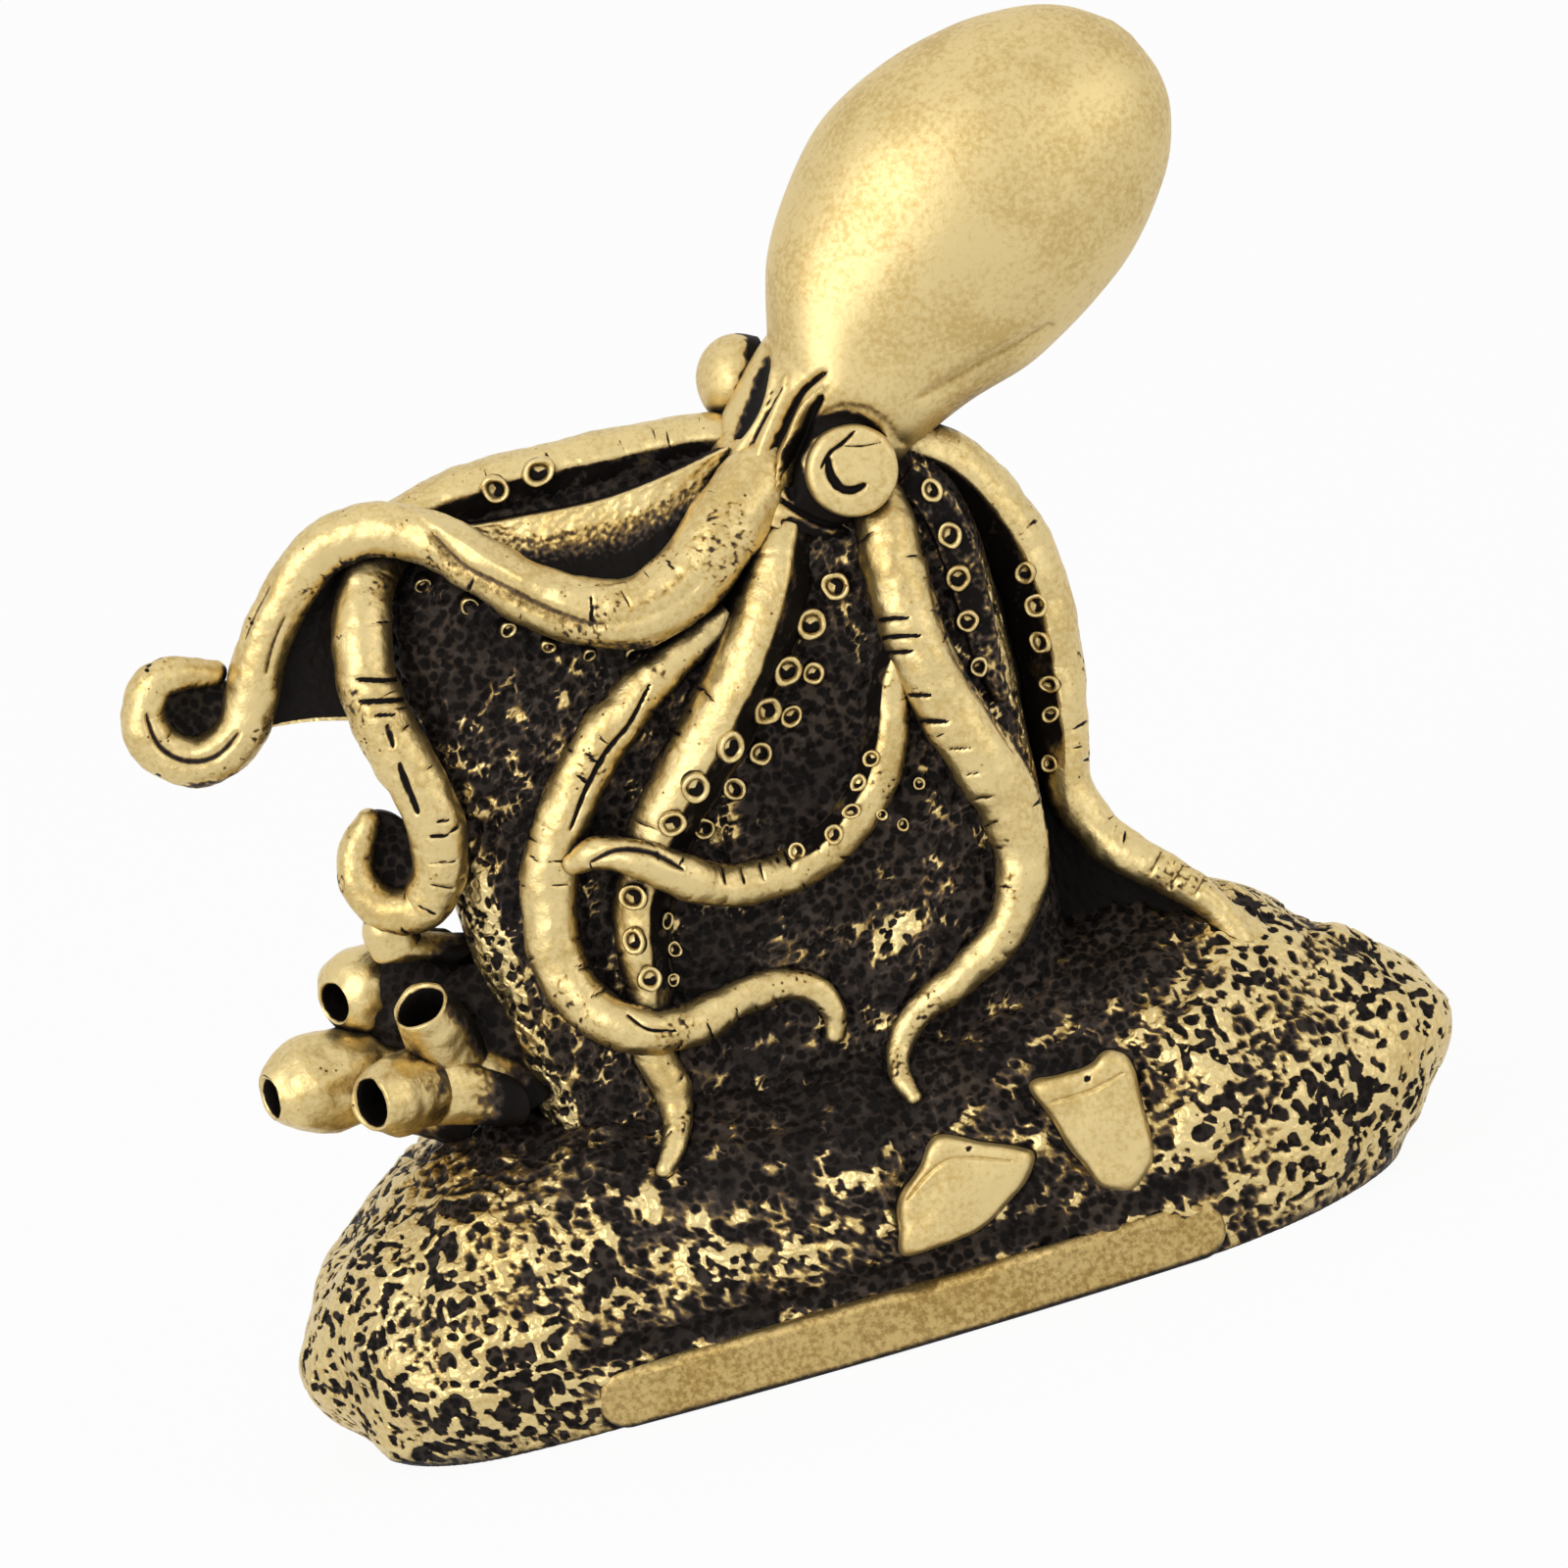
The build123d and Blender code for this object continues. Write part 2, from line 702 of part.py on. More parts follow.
routes = {
    "front_right": seated_route(front_right_shares),
    "hooked": seated_route(hooked_shares),
    "front_left": seated_route(front_left_shares),
    "long_left": free_route(long_left_shares),
    "front_centre": seated_route(front_centre_shares),
    "over_top": free_route(over_top_shares),
    "side_right": free_route(side_right_shares),
    "rock_edge": seated_route(rock_edge_shares),
}
sucker_rows = {
    "front_centre": front_centre_suckers_shares,
    "long_left": long_left_suckers_shares,
    "over_top": over_top_suckers_shares,
    "hooked": hooked_suckers_shares,
    "rock_edge": rock_edge_suckers_shares,
    "side_right": side_right_suckers_shares,
}
for name, rows in sucker_rows.items():
    add(f"suckers_{name}", *make_suckers(routes[name], rows))
for name, route in routes.items():
    add(f"arm_{name}", arm(route))
add("web_upper", make_web(web_upper_shares, web_upper_y_share))
add("web_left", make_web(web_left_shares, web_left_y_share))

os.makedirs("parts", exist_ok=True)
for name, shape in nodes.items():
    export_step(shape, f"parts/{name}.step")
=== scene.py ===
from math import cos, pi, radians, sin

import bpy
import numpy as np
from mathutils import Matrix, Vector, noise
from mathutils.bvhtree import BVHTree


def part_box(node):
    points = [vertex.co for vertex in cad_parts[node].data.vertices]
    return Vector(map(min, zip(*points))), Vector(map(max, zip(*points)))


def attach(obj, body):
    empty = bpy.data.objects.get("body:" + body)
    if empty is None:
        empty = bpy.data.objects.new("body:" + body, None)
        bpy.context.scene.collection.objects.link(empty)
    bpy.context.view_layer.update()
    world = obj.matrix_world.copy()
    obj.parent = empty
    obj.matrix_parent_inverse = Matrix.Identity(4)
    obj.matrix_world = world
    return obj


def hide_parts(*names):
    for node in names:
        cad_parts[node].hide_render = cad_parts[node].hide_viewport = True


# Looks of a cast brass octopus figurine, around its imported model
# Sizes and places are in millimetres in the model's frame, and make_piece turns them into metres

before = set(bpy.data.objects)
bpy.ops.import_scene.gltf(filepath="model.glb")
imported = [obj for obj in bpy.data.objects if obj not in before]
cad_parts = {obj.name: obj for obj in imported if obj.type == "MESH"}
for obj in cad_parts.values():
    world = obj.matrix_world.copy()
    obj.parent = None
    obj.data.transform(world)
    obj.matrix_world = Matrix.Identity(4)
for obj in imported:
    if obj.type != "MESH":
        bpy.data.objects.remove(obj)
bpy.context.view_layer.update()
MM = 0.001

# The view: a point u to the right and v up in the photograph, turned level, lies at x = u and
# v = rise_z * z + rise_y * y + rise_0
camera_elevation = 12.0
camera_roll = -16.4
camera_lens = 400.0
camera_distance = 658.4
camera_aim = (1.03, -3.0, 20.9)
rise_z = cos(radians(camera_elevation))
rise_y = sin(radians(camera_elevation))
rise_0 = 0.68
# The photograph's own pixels: where u and v are zero, how many make a millimetre, and its turn
photo_origin = (930, 1340)
photo_scale = 27.0
photo_turn = 16.4

# Sizes of the rock and the arms, as in the solids
mound_low, mound_high = (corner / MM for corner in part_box("base_mound"))
base_length = mound_high.x - mound_low.x
base_depth = mound_high.y - mound_low.y
base_height = 12.0
half_face = 10.0
half_rock = 5.0
rock_rise = 20.0
rock_squareness = 5
hollow_ball_radius = 4.6
hollow_depth = 0.42
arm_radius = 1.3
seat_blend = 1.2

# Mound: place along the length, half depth, lowest and highest point, as shares of the mound's sizes
mound_shares = [
    (-1.00, 0.07, 0.26, 0.34),
    (-0.98, 0.27, 0.17, 0.42),
    (-0.935, 0.50, 0.05, 0.57),
    (-0.875, 0.76, -0.08, 0.66),
    (-0.785, 0.95, -0.18, 0.77),
    (-0.655, 1.00, -0.32, 0.92),
    (-0.435, 1.00, -0.45, 1.00),
    (0.00, 1.00, -0.50, 1.00),
    (0.435, 1.00, -0.50, 1.00),
    (0.61, 0.93, -0.40, 0.99),
    (0.74, 0.78, -0.22, 0.90),
    (0.875, 0.52, 0.03, 0.70),
    (0.96, 0.26, 0.24, 0.56),
    (1.00, 0.06, 0.38, 0.44),
]
# Rock: height above the crest as a share of the rise, left and right edge as shares of half the face
# width, and half thickness as a share of half the rock's thickness
rock_shares = [
    (-0.30, -1.09, 0.93, 1.08),
    (0.00, -1.15, 0.97, 1.05),
    (0.30, -1.22, 1.03, 1.00),
    (0.70, -1.22, 1.08, 0.94),
    (0.90, -1.20, 1.05, 0.84),
    (1.01, -1.13, 0.94, 0.66),
    (1.075, -0.95, 0.62, 0.42),
]
# Broad hollows in the rock's faces: x as a share of half the face width, z as a share of the rise and
# depth as a share of the hollow depth
back_hollow_shares = [
    (-0.92, 0.14, 0.90),
    (-0.50, 0.26, 1.00),
    (-0.02, 0.10, 0.85),
    (0.46, 0.24, 1.00),
    (0.84, 0.06, 0.80),
    (-0.86, 0.42, 0.85),
    (-0.28, 0.46, 0.95),
    (0.14, 0.34, 0.90),
    (0.78, 0.44, 1.00),
    (-0.60, 0.66, 1.00),
    (-0.08, 0.70, 0.85),
    (0.38, 0.58, 0.95),
    (-0.92, 0.82, 0.70),
]
front_hollow_shares = [
    (-0.80, 0.74, 1.00),
    (-1.00, 0.52, 0.85),
    (0.24, 0.50, 1.00),
    (0.30, 0.16, 1.00),
]
# Arm routes on the front of the rock: x as a share of half the face width, z as a share of the rise,
# standoff of the centre line from the rock in its own radii, and radius as a share of the arm radius
front_centre_shares = [
    (0.55, 1.030, -1.30, 1.00),
    (0.43, 0.957, -0.35, 1.10),
    (0.29, 0.835, 0.30, 1.20),
    (0.13, 0.722, 0.45, 1.22),
    (-0.06, 0.615, 0.45, 1.19),
    (-0.27, 0.513, 0.45, 1.10),
    (-0.45, 0.400, 0.40, 1.00),
    (-0.56, 0.278, 0.40, 0.88),
    (-0.60, 0.160, 0.40, 0.73),
    (-0.65, 0.058, 0.35, 0.65),
    (-0.63, -0.029, 0.40, 0.58),
    (-0.64, -0.080, 0.45, 0.46),
    (-0.68, -0.125, 0.50, 0.38),
    (-0.74, -0.156, 0.50, 0.30),
]
front_right_shares = [
    (0.72, 1.030, -1.60, 0.90),
    (0.74, 0.950, -0.70, 0.92),
    (0.74, 0.876, 0.05, 0.94),
    (0.73, 0.778, 0.45, 0.95),
    (0.73, 0.661, 0.60, 0.96),
    (0.77, 0.533, 0.60, 0.96),
    (0.85, 0.405, 0.60, 1.00),
    (0.895, 0.303, 0.60, 0.92),
    (0.89, 0.211, 0.60, 0.81),
    (0.83, 0.129, 0.60, 0.73),
    (0.70, 0.063, 0.60, 0.62),
    (0.53, 0.017, 0.60, 0.54),
    (0.36, -0.018, 0.60, 0.46),
    (0.25, -0.070, 0.60, 0.38),
    (0.21, -0.115, 0.60, 0.32),
    (0.24, -0.160, 0.60, 0.23),
]
front_left_shares = [
    (0.09, 0.809, 0.40, 0.62),
    (-0.15, 0.758, 0.50, 0.65),
    (-0.35, 0.707, 0.55, 0.73),
    (-0.55, 0.630, 0.55, 0.81),
    (-0.72, 0.533, 0.55, 0.85),
    (-0.84, 0.431, 0.55, 0.85),
    (-0.89, 0.329, 0.60, 0.85),
    (-0.89, 0.237, 0.75, 0.81),
    (-0.82, 0.160, 1.10, 0.77),
    (-0.68, 0.104, 1.45, 0.73),
    (-0.50, 0.083, 1.10, 0.65),
    (-0.30, 0.099, 0.70, 0.58),
    (-0.12, 0.104, 0.55, 0.50),
    (0.00, 0.073, 0.50, 0.42),
    (0.04, 0.022, 0.50, 0.35),
    (0.02, -0.018, 0.50, 0.27),
]
hooked_shares = [
    (0.70, 0.676, 0.70, 0.54),
    (0.60, 0.600, 0.60, 0.62),
    (0.55, 0.533, 0.55, 0.65),
    (0.49, 0.467, 0.55, 0.65),
    (0.40, 0.405, 0.55, 0.65),
    (0.26, 0.349, 0.55, 0.65),
    (0.10, 0.313, 0.60, 0.65),
    (-0.07, 0.308, 0.80, 0.65),
    (-0.23, 0.324, 1.30, 0.65),
    (-0.36, 0.370, 2.10, 0.65),
    (-0.50, 0.426, 2.70, 0.58),
    (-0.63, 0.457, 2.80, 0.50),
    (-0.74, 0.451, 2.90, 0.38),
]
rock_edge_shares = [
    (0.87, 0.955, 0.60, 0.50),
    (0.94, 0.900, 0.60, 0.54),
    (0.975, 0.830, 0.60, 0.56),
    (0.98, 0.745, 0.60, 0.54),
    (0.975, 0.660, 0.55, 0.48),
    (0.97, 0.580, 0.50, 0.40),
    (0.98, 0.510, 0.50, 0.30),
]
# Arm routes that leave the rock: x as a share of half the face width, y as a share of half the rock's
# thickness, z as a share of the rise, and radius as a share of the arm radius
long_left_shares = [
    (0.52, -0.50, 1.075, 1.00),
    (0.34, -0.78, 1.030, 1.12),
    (0.15, -1.00, 0.965, 1.16),
    (-0.03, -1.12, 0.900, 1.12),
    (-0.22, -1.18, 0.872, 1.06),
    (-0.41, -1.18, 0.896, 1.00),
    (-0.60, -1.12, 0.955, 0.92),
    (-0.75, -1.00, 1.030, 0.86),
    (-0.91, -0.84, 1.100, 0.82),
    (-1.10, -0.72, 1.142, 0.80),
    (-1.30, -0.66, 1.134, 0.80),
    (-1.49, -0.64, 1.066, 0.80),
    (-1.64, -0.62, 0.978, 0.78),
    (-1.73, -0.60, 0.894, 0.77),
    (-1.84, -0.60, 0.825, 0.77),
    (-1.99, -0.60, 0.803, 0.77),
    (-2.11, -0.60, 0.844, 0.74),
    (-2.145, -0.60, 0.916, 0.68),
    (-2.07, -0.60, 0.972, 0.60),
    (-1.95, -0.58, 0.975, 0.50),
    (-1.84, -0.50, 0.955, 0.36),
]
over_top_shares = [
    (0.52, -0.20, 1.075, 0.80),
    (0.30, -0.20, 1.078, 0.92),
    (0.12, -0.16, 1.092, 1.04),
    (-0.10, -0.14, 1.100, 1.08),
    (-0.35, -0.14, 1.110, 1.08),
    (-0.60, -0.16, 1.117, 1.08),
    (-0.83, -0.20, 1.114, 1.04),
    (-1.03, -0.30, 1.099, 0.96),
    (-1.16, -0.52, 1.060, 0.88),
    (-1.25, -0.76, 0.980, 0.88),
    (-1.29, -0.90, 0.875, 0.92),
    (-1.27, -0.96, 0.771, 0.92),
    (-1.22, -0.98, 0.670, 0.88),
    (-1.20, -0.96, 0.567, 0.85),
    (-1.24, -0.90, 0.482, 0.81),
    (-1.35, -0.84, 0.427, 0.73),
    (-1.48, -0.78, 0.445, 0.65),
    (-1.54, -0.74, 0.504, 0.58),
    (-1.51, -0.72, 0.568, 0.50),
    (-1.44, -0.72, 0.610, 0.38),
]
side_right_shares = [
    (0.68, -0.36, 1.030, 0.80),
    (0.86, -0.32, 0.992, 0.94),
    (1.03, -0.24, 0.932, 1.00),
    (1.14, -0.20, 0.838, 1.04),
    (1.205, -0.20, 0.736, 1.04),
    (1.22, -0.20, 0.629, 1.04),
    (1.20, -0.22, 0.502, 0.96),
    (1.16, -0.26, 0.376, 0.88),
    (1.13, -0.32, 0.272, 0.77),
    (1.18, -0.40, 0.190, 0.69),
    (1.28, -0.52, 0.124, 0.65),
    (1.42, -0.60, 0.056, 0.58),
    (1.54, -0.64, -0.018, 0.50),
    (1.60, -0.72, -0.090, 0.38),
    (1.59, -0.74, -0.125, 0.31),
]
# Mantle: place along its axis, rise of the centre off the axis and half width, as shares
mantle_length = 17.2
mantle_width = 12.4
mantle_depth = 9.6
mantle_angle = 38
mantle_foot = (7.2, -0.6, 34.7)
mantle_shares = [
    (0.00, -0.03, 0.56),
    (0.14, 0.05, 0.76),
    (0.30, 0.03, 0.93),
    (0.47, 0.02, 1.00),
    (0.64, -0.03, 0.945),
    (0.80, -0.09, 0.78),
    (0.91, -0.12, 0.56),
    (0.97, -0.13, 0.34),
    (1.00, -0.13, 0.08),
]
head_width = 6.8
head_depth = 8.0
head_drop = 5.2
head_top_angle = 38
head_foot_angle = 60
head_y = -1.4
# How many points measure a curve, and about how many faces show which way a form is turned
curve_samples = 2000
judged_faces = 4000


def along(table, places):
    """Rows on the smooth curve through a table's rows, at places from 0 to 1."""
    table = np.asarray(table, float)
    spans = len(table) - 1
    t = np.clip(places, 0, 1) * spans
    k = np.minimum(t.astype(int), spans - 1)
    t = (t - k)[:, None]
    a, b = table[np.maximum(k - 1, 0)], table[k]
    c, d = table[k + 1], table[np.minimum(k + 2, spans)]
    return 0.5 * (2 * b + (c - a) * t + (2 * a - 5 * b + 4 * c - d) * t**2 + (3 * b - a - 3 * c + d) * t**3)


def even_places(table, step, axes=3):
    """Places along a table's curve that lie a step apart, measured over its first columns."""
    fine = np.linspace(0, 1, curve_samples)
    points = along(table, fine)[:, :axes]
    lengths = np.concatenate([[0], np.cumsum(np.linalg.norm(np.diff(points, axis=0), axis=1))])
    count = max(int(lengths[-1] / step), 2) + 1
    return np.interp(np.linspace(0, lengths[-1], count), lengths, fine)


def unit(vectors):
    """Vectors scaled to a length of one."""
    return vectors / np.maximum(np.linalg.norm(vectors, axis=-1, keepdims=True), 1e-12)


def smooth_step(low, high, values):
    """0 below low and 1 above high, with a smooth rise between."""
    t = np.clip((values - low) / (high - low), 0, 1)
    return t * t * (3 - 2 * t)


def seen_place(points):
    """Where points show in the levelled photograph, as u and v."""
    return np.stack([points[..., 0], rise_z * points[..., 2] + rise_y * points[..., 1] + rise_0], axis=-1)


def from_pixels(points):
    """Pixels of the photograph as u and v."""
    right, up = ((np.asarray(points, float) - photo_origin) / photo_scale * (1, -1)).T
    c, s = cos(radians(photo_turn)), sin(radians(photo_turn))
    return np.stack([right * c + up * s, up * c - right * s], axis=-1)


def in_depth(rows):
    """Points given as u, v and y."""
    u, v, y = np.asarray(rows, float).T
    return np.stack([u, y, (v - rise_0 - rise_y * y) / rise_z], axis=-1)


def line_distance(places, line):
    """The distance of places from a line of points, and how far along the line they are from 0 to 1."""
    best = np.full(places.shape[:-1], np.inf)
    share = np.zeros(places.shape[:-1])
    line = np.asarray(line, float)
    spans = len(line) - 1
    for k in range(spans):
        start, way = line[k], line[k + 1] - line[k]
        t = np.clip(((places - start) @ way) / (way @ way), 0, 1)
        gap = np.linalg.norm(places - start - t[..., None] * way, axis=-1)
        nearer = gap < best
        best = np.where(nearer, gap, best)
        share = np.where(nearer, (k + t) / spans, share)
    return best, share


def waves(points, size, seed=0):
    """Smooth noise from about -1 to 1, with waves of a size."""
    shift = Vector((seed * 7.31, seed * 3.17, seed * 5.23))
    flat = (np.asarray(points).reshape(-1, 3) / size).tolist()
    return np.array([noise.noise(Vector(p) + shift) for p in flat]).reshape(np.shape(points)[:-1])


def cells(points, size, seed=0):
    """Distances to the nearest and the next nearest cell centre, in cell sizes."""
    shift = Vector((seed * 4.37, seed * 9.11, seed * 2.71))
    flat = (np.asarray(points).reshape(-1, 3) / size).tolist()
    found = np.array([noise.voronoi(Vector(p) + shift)[0][:2] for p in flat])
    shape = np.shape(points)[:-1]
    return found[:, 0].reshape(shape), found[:, 1].reshape(shape)


def mottling(grid, layers):
    """Noise at each place, from layers of a wave size, a strength and a seed."""
    return sum(strength * waves(grid, size, seed) for size, strength, seed in layers)


def roughen(grid, out, layers):
    """A surface moved out and in by noise, from layers of a wave size, a height and a seed."""
    return grid + out * mottling(grid, layers)[..., None]


def tube_normals(grid):
    """Outward directions on a grid of rings, closed round each ring."""
    around = np.roll(grid, -1, axis=1) - np.roll(grid, 1, axis=1)
    lengthwise = np.gradient(grid, axis=0)
    out = unit(np.cross(around, lengthwise))
    middle = grid.mean(axis=1, keepdims=True)
    outward = np.sum(out * (grid - middle)) > 0
    return out if outward else -out


def tube_mesh(grid):
    """Points and faces of a grid of rings, closed at both ends."""
    rows, columns = grid.shape[:2]
    points = np.concatenate([grid.reshape(-1, 3), grid[:1].mean(axis=1), grid[-1:].mean(axis=1)])
    k, j = np.meshgrid(np.arange(rows - 1), np.arange(columns), indexing="ij")
    after = (j + 1) % columns
    here, beyond = k * columns, (k + 1) * columns
    quads = np.stack([here + j, here + after, beyond + after, beyond + j], axis=-1)
    foot, top = rows * columns, rows * columns + 1
    last = (rows - 1) * columns
    faces = quads.reshape(-1, 4).tolist()
    faces += [(foot, (j + 1) % columns, j) for j in range(columns)]
    faces += [(top, last + j, last + (j + 1) % columns) for j in range(columns)]
    return points, faces


def signed_volume(points, faces):
    """The volume that faces close round, below zero if they face inward."""
    total = 0.0
    for face in faces:
        a, b, c = points[face[0]], points[face[1]], points[face[2]]
        total += np.dot(a, np.cross(b, c))
        if len(face) == 4:
            d = points[face[3]]
            total += np.dot(a, np.cross(c, d))
    return total


def make_piece(name, points, faces, patina, material, slot, *nodes):
    """A piece from points in millimetres. Patina is 0 on bright brass and 1 in dark hollows, and on the arms,
    the body and the sponges it also carries painted shade.
    """
    sample = np.asarray(points) * MM
    mesh = bpy.data.meshes.new(name)
    mesh.from_pydata(sample.tolist(), [], faces)
    attribute = mesh.attributes.new("patina", "FLOAT", "POINT")
    values = np.zeros(len(sample), np.float32)
    values[: len(patina)] = patina
    attribute.data.foreach_set("value", values)
    mesh.polygons.foreach_set("use_smooth", [True] * len(mesh.polygons))
    mesh.materials.append(material)
    mesh.update()
    piece = bpy.data.objects.new(name, mesh)
    bpy.context.scene.collection.objects.link(piece)
    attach(piece, "root")
    if nodes:
        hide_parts(*nodes)
    return piece


def make_tube(name, grid, patina, material, slot, *nodes):
    """A piece from a grid of rings, turned so that its faces look outward."""
    points, faces = tube_mesh(grid)
    if signed_volume(points, faces[:: max(len(faces) // judged_faces, 1)]) < 0:
        faces = [tuple(reversed(face)) for face in faces]
    patina = np.concatenate([patina.reshape(-1), [patina[0].mean(), patina[-1].mean()]])
    return make_piece(name, points, faces, patina, material, slot, *nodes)


# Materials
def nodes_of(name):
    """A new material without a shader, and its node tree."""
    material = bpy.data.materials.new(name)
    material.use_nodes = True
    tree = material.node_tree
    for node in list(tree.nodes):
        if node.type != "OUTPUT_MATERIAL":
            tree.nodes.remove(node)
    return material, tree


def add_node(tree, kind, **values):
    """A new node of a kind, with its properties."""
    node = tree.nodes.new(kind)
    for key, value in values.items():
        setattr(node, key, value)
    return node


def math_node(tree, operation, first, second):
    """The result of a sum such as ADD or MAXIMUM on two values, each a socket or a number."""
    node = add_node(tree, "ShaderNodeMath", operation=operation)
    for socket, value in zip(node.inputs, (first, second)):
        if isinstance(value, (int, float)):
            socket.default_value = value
        else:
            tree.links.new(value, socket)
    return node.outputs[0]


def range_node(tree, value, low, high, to_low=0.0, to_high=1.0):
    """A value moved from one range to another, smooth at both ends."""
    node = add_node(tree, "ShaderNodeMapRange", interpolation_type="SMOOTHSTEP")
    tree.links.new(value, node.inputs["Value"])
    node.inputs["From Min"].default_value = low
    node.inputs["From Max"].default_value = high
    node.inputs["To Min"].default_value = to_low
    node.inputs["To Max"].default_value = to_high
    return node.outputs["Result"]


def noise_node(tree, vector, size, detail=4.0, roughness=0.6):
    """Noise with features of about a size in millimetres."""
    node = add_node(tree, "ShaderNodeTexNoise")
    node.inputs["Scale"].default_value = 1 / (size * MM)
    node.inputs["Detail"].default_value = detail
    node.inputs["Roughness"].default_value = roughness
    tree.links.new(vector, node.inputs["Vector"])
    return node.outputs["Fac"]


def linear(red, green, blue):
    """A colour given from 0 to 255 as on a screen, in the renderer's own values."""
    values = [c / 255 for c in (red, green, blue)]
    return tuple(c / 12.92 if c <= 0.04045 else ((c + 0.055) / 1.055) ** 2.4 for c in values) + (1.0,)


bright_brass = linear(220, 198, 142)
warm_brass = linear(200, 174, 114)
dull_brass = linear(122, 100, 64)
grey_patina = linear(70, 60, 54)
black_patina = linear(18, 14, 12)
warm_tint = linear(222, 210, 180)
# How dark a place is where each colour is reached, between bright brass at 0 and black patina at 1
patina_stops = ((0.22, warm_brass), (0.45, dull_brass), (0.72, grey_patina))
# Sizes of the patterns in the finish, and the depth of its grain
cloud_size = 3.4
mottle_size = 1.1
fine_size = 0.22
pore_size = 0.30
comb_size = 0.36
grain_depth = 0.03
# The values of a pattern between which something comes in
patina_range = (0.30, 0.62)
comb_range = (0.38, 0.72)
comb_patch_range = (0.40, 0.62)
pore_range = (0.16, 0.27)
pore_patch_range = (0.54, 0.66)
blotch_range = (0.38, 0.64)
tint_range = (0.36, 0.76)
metal_range = (0.35, 1.0)
# How strong the patterns are, as shares
speck_share = 0.7
patina_speck_share = 0.5
blotch_share = 0.15
tint_share = 0.75
comb_warp_share = 0.8
comb_least_share = 0.35
mottle_relief_share = 1.5
comb_relief_share = 1.2
# The shader's metallic, specular and roughness values
brass_metallic, patina_metallic = 1.0, 0.25
brass_specular, patina_specular = 0.5, 0.12
patina_roughness = 0.62
roughness_change = 0.12
# A colour mix's sockets for its two colours and its result
mix_first, mix_second, mix_result = 6, 7, 2


def cell_node(tree, vector, size):
    """The distance to the nearest of many points that lie about a size apart."""
    node = add_node(tree, "ShaderNodeTexVoronoi")
    node.inputs["Scale"].default_value = 1 / (size * MM)
    tree.links.new(vector, node.inputs["Vector"])
    return node.outputs["Distance"]


def honeycomb(tree, place):
    """Ridges between fine round pits, from 0 in a pit to 1 on a ridge."""
    warp = add_node(tree, "ShaderNodeTexNoise")
    warp.inputs["Scale"].default_value = 1 / (comb_size * 2 * MM)
    tree.links.new(place, warp.inputs["Vector"])
    shift = add_node(tree, "ShaderNodeVectorMath", operation="SCALE")
    tree.links.new(warp.outputs["Color"], shift.inputs[0])
    shift.inputs["Scale"].default_value = comb_size * comb_warp_share * MM
    moved = add_node(tree, "ShaderNodeVectorMath", operation="ADD")
    tree.links.new(place, moved.inputs[0])
    tree.links.new(shift.outputs[0], moved.inputs[1])
    return range_node(tree, cell_node(tree, moved.outputs[0], comb_size), *comb_range)


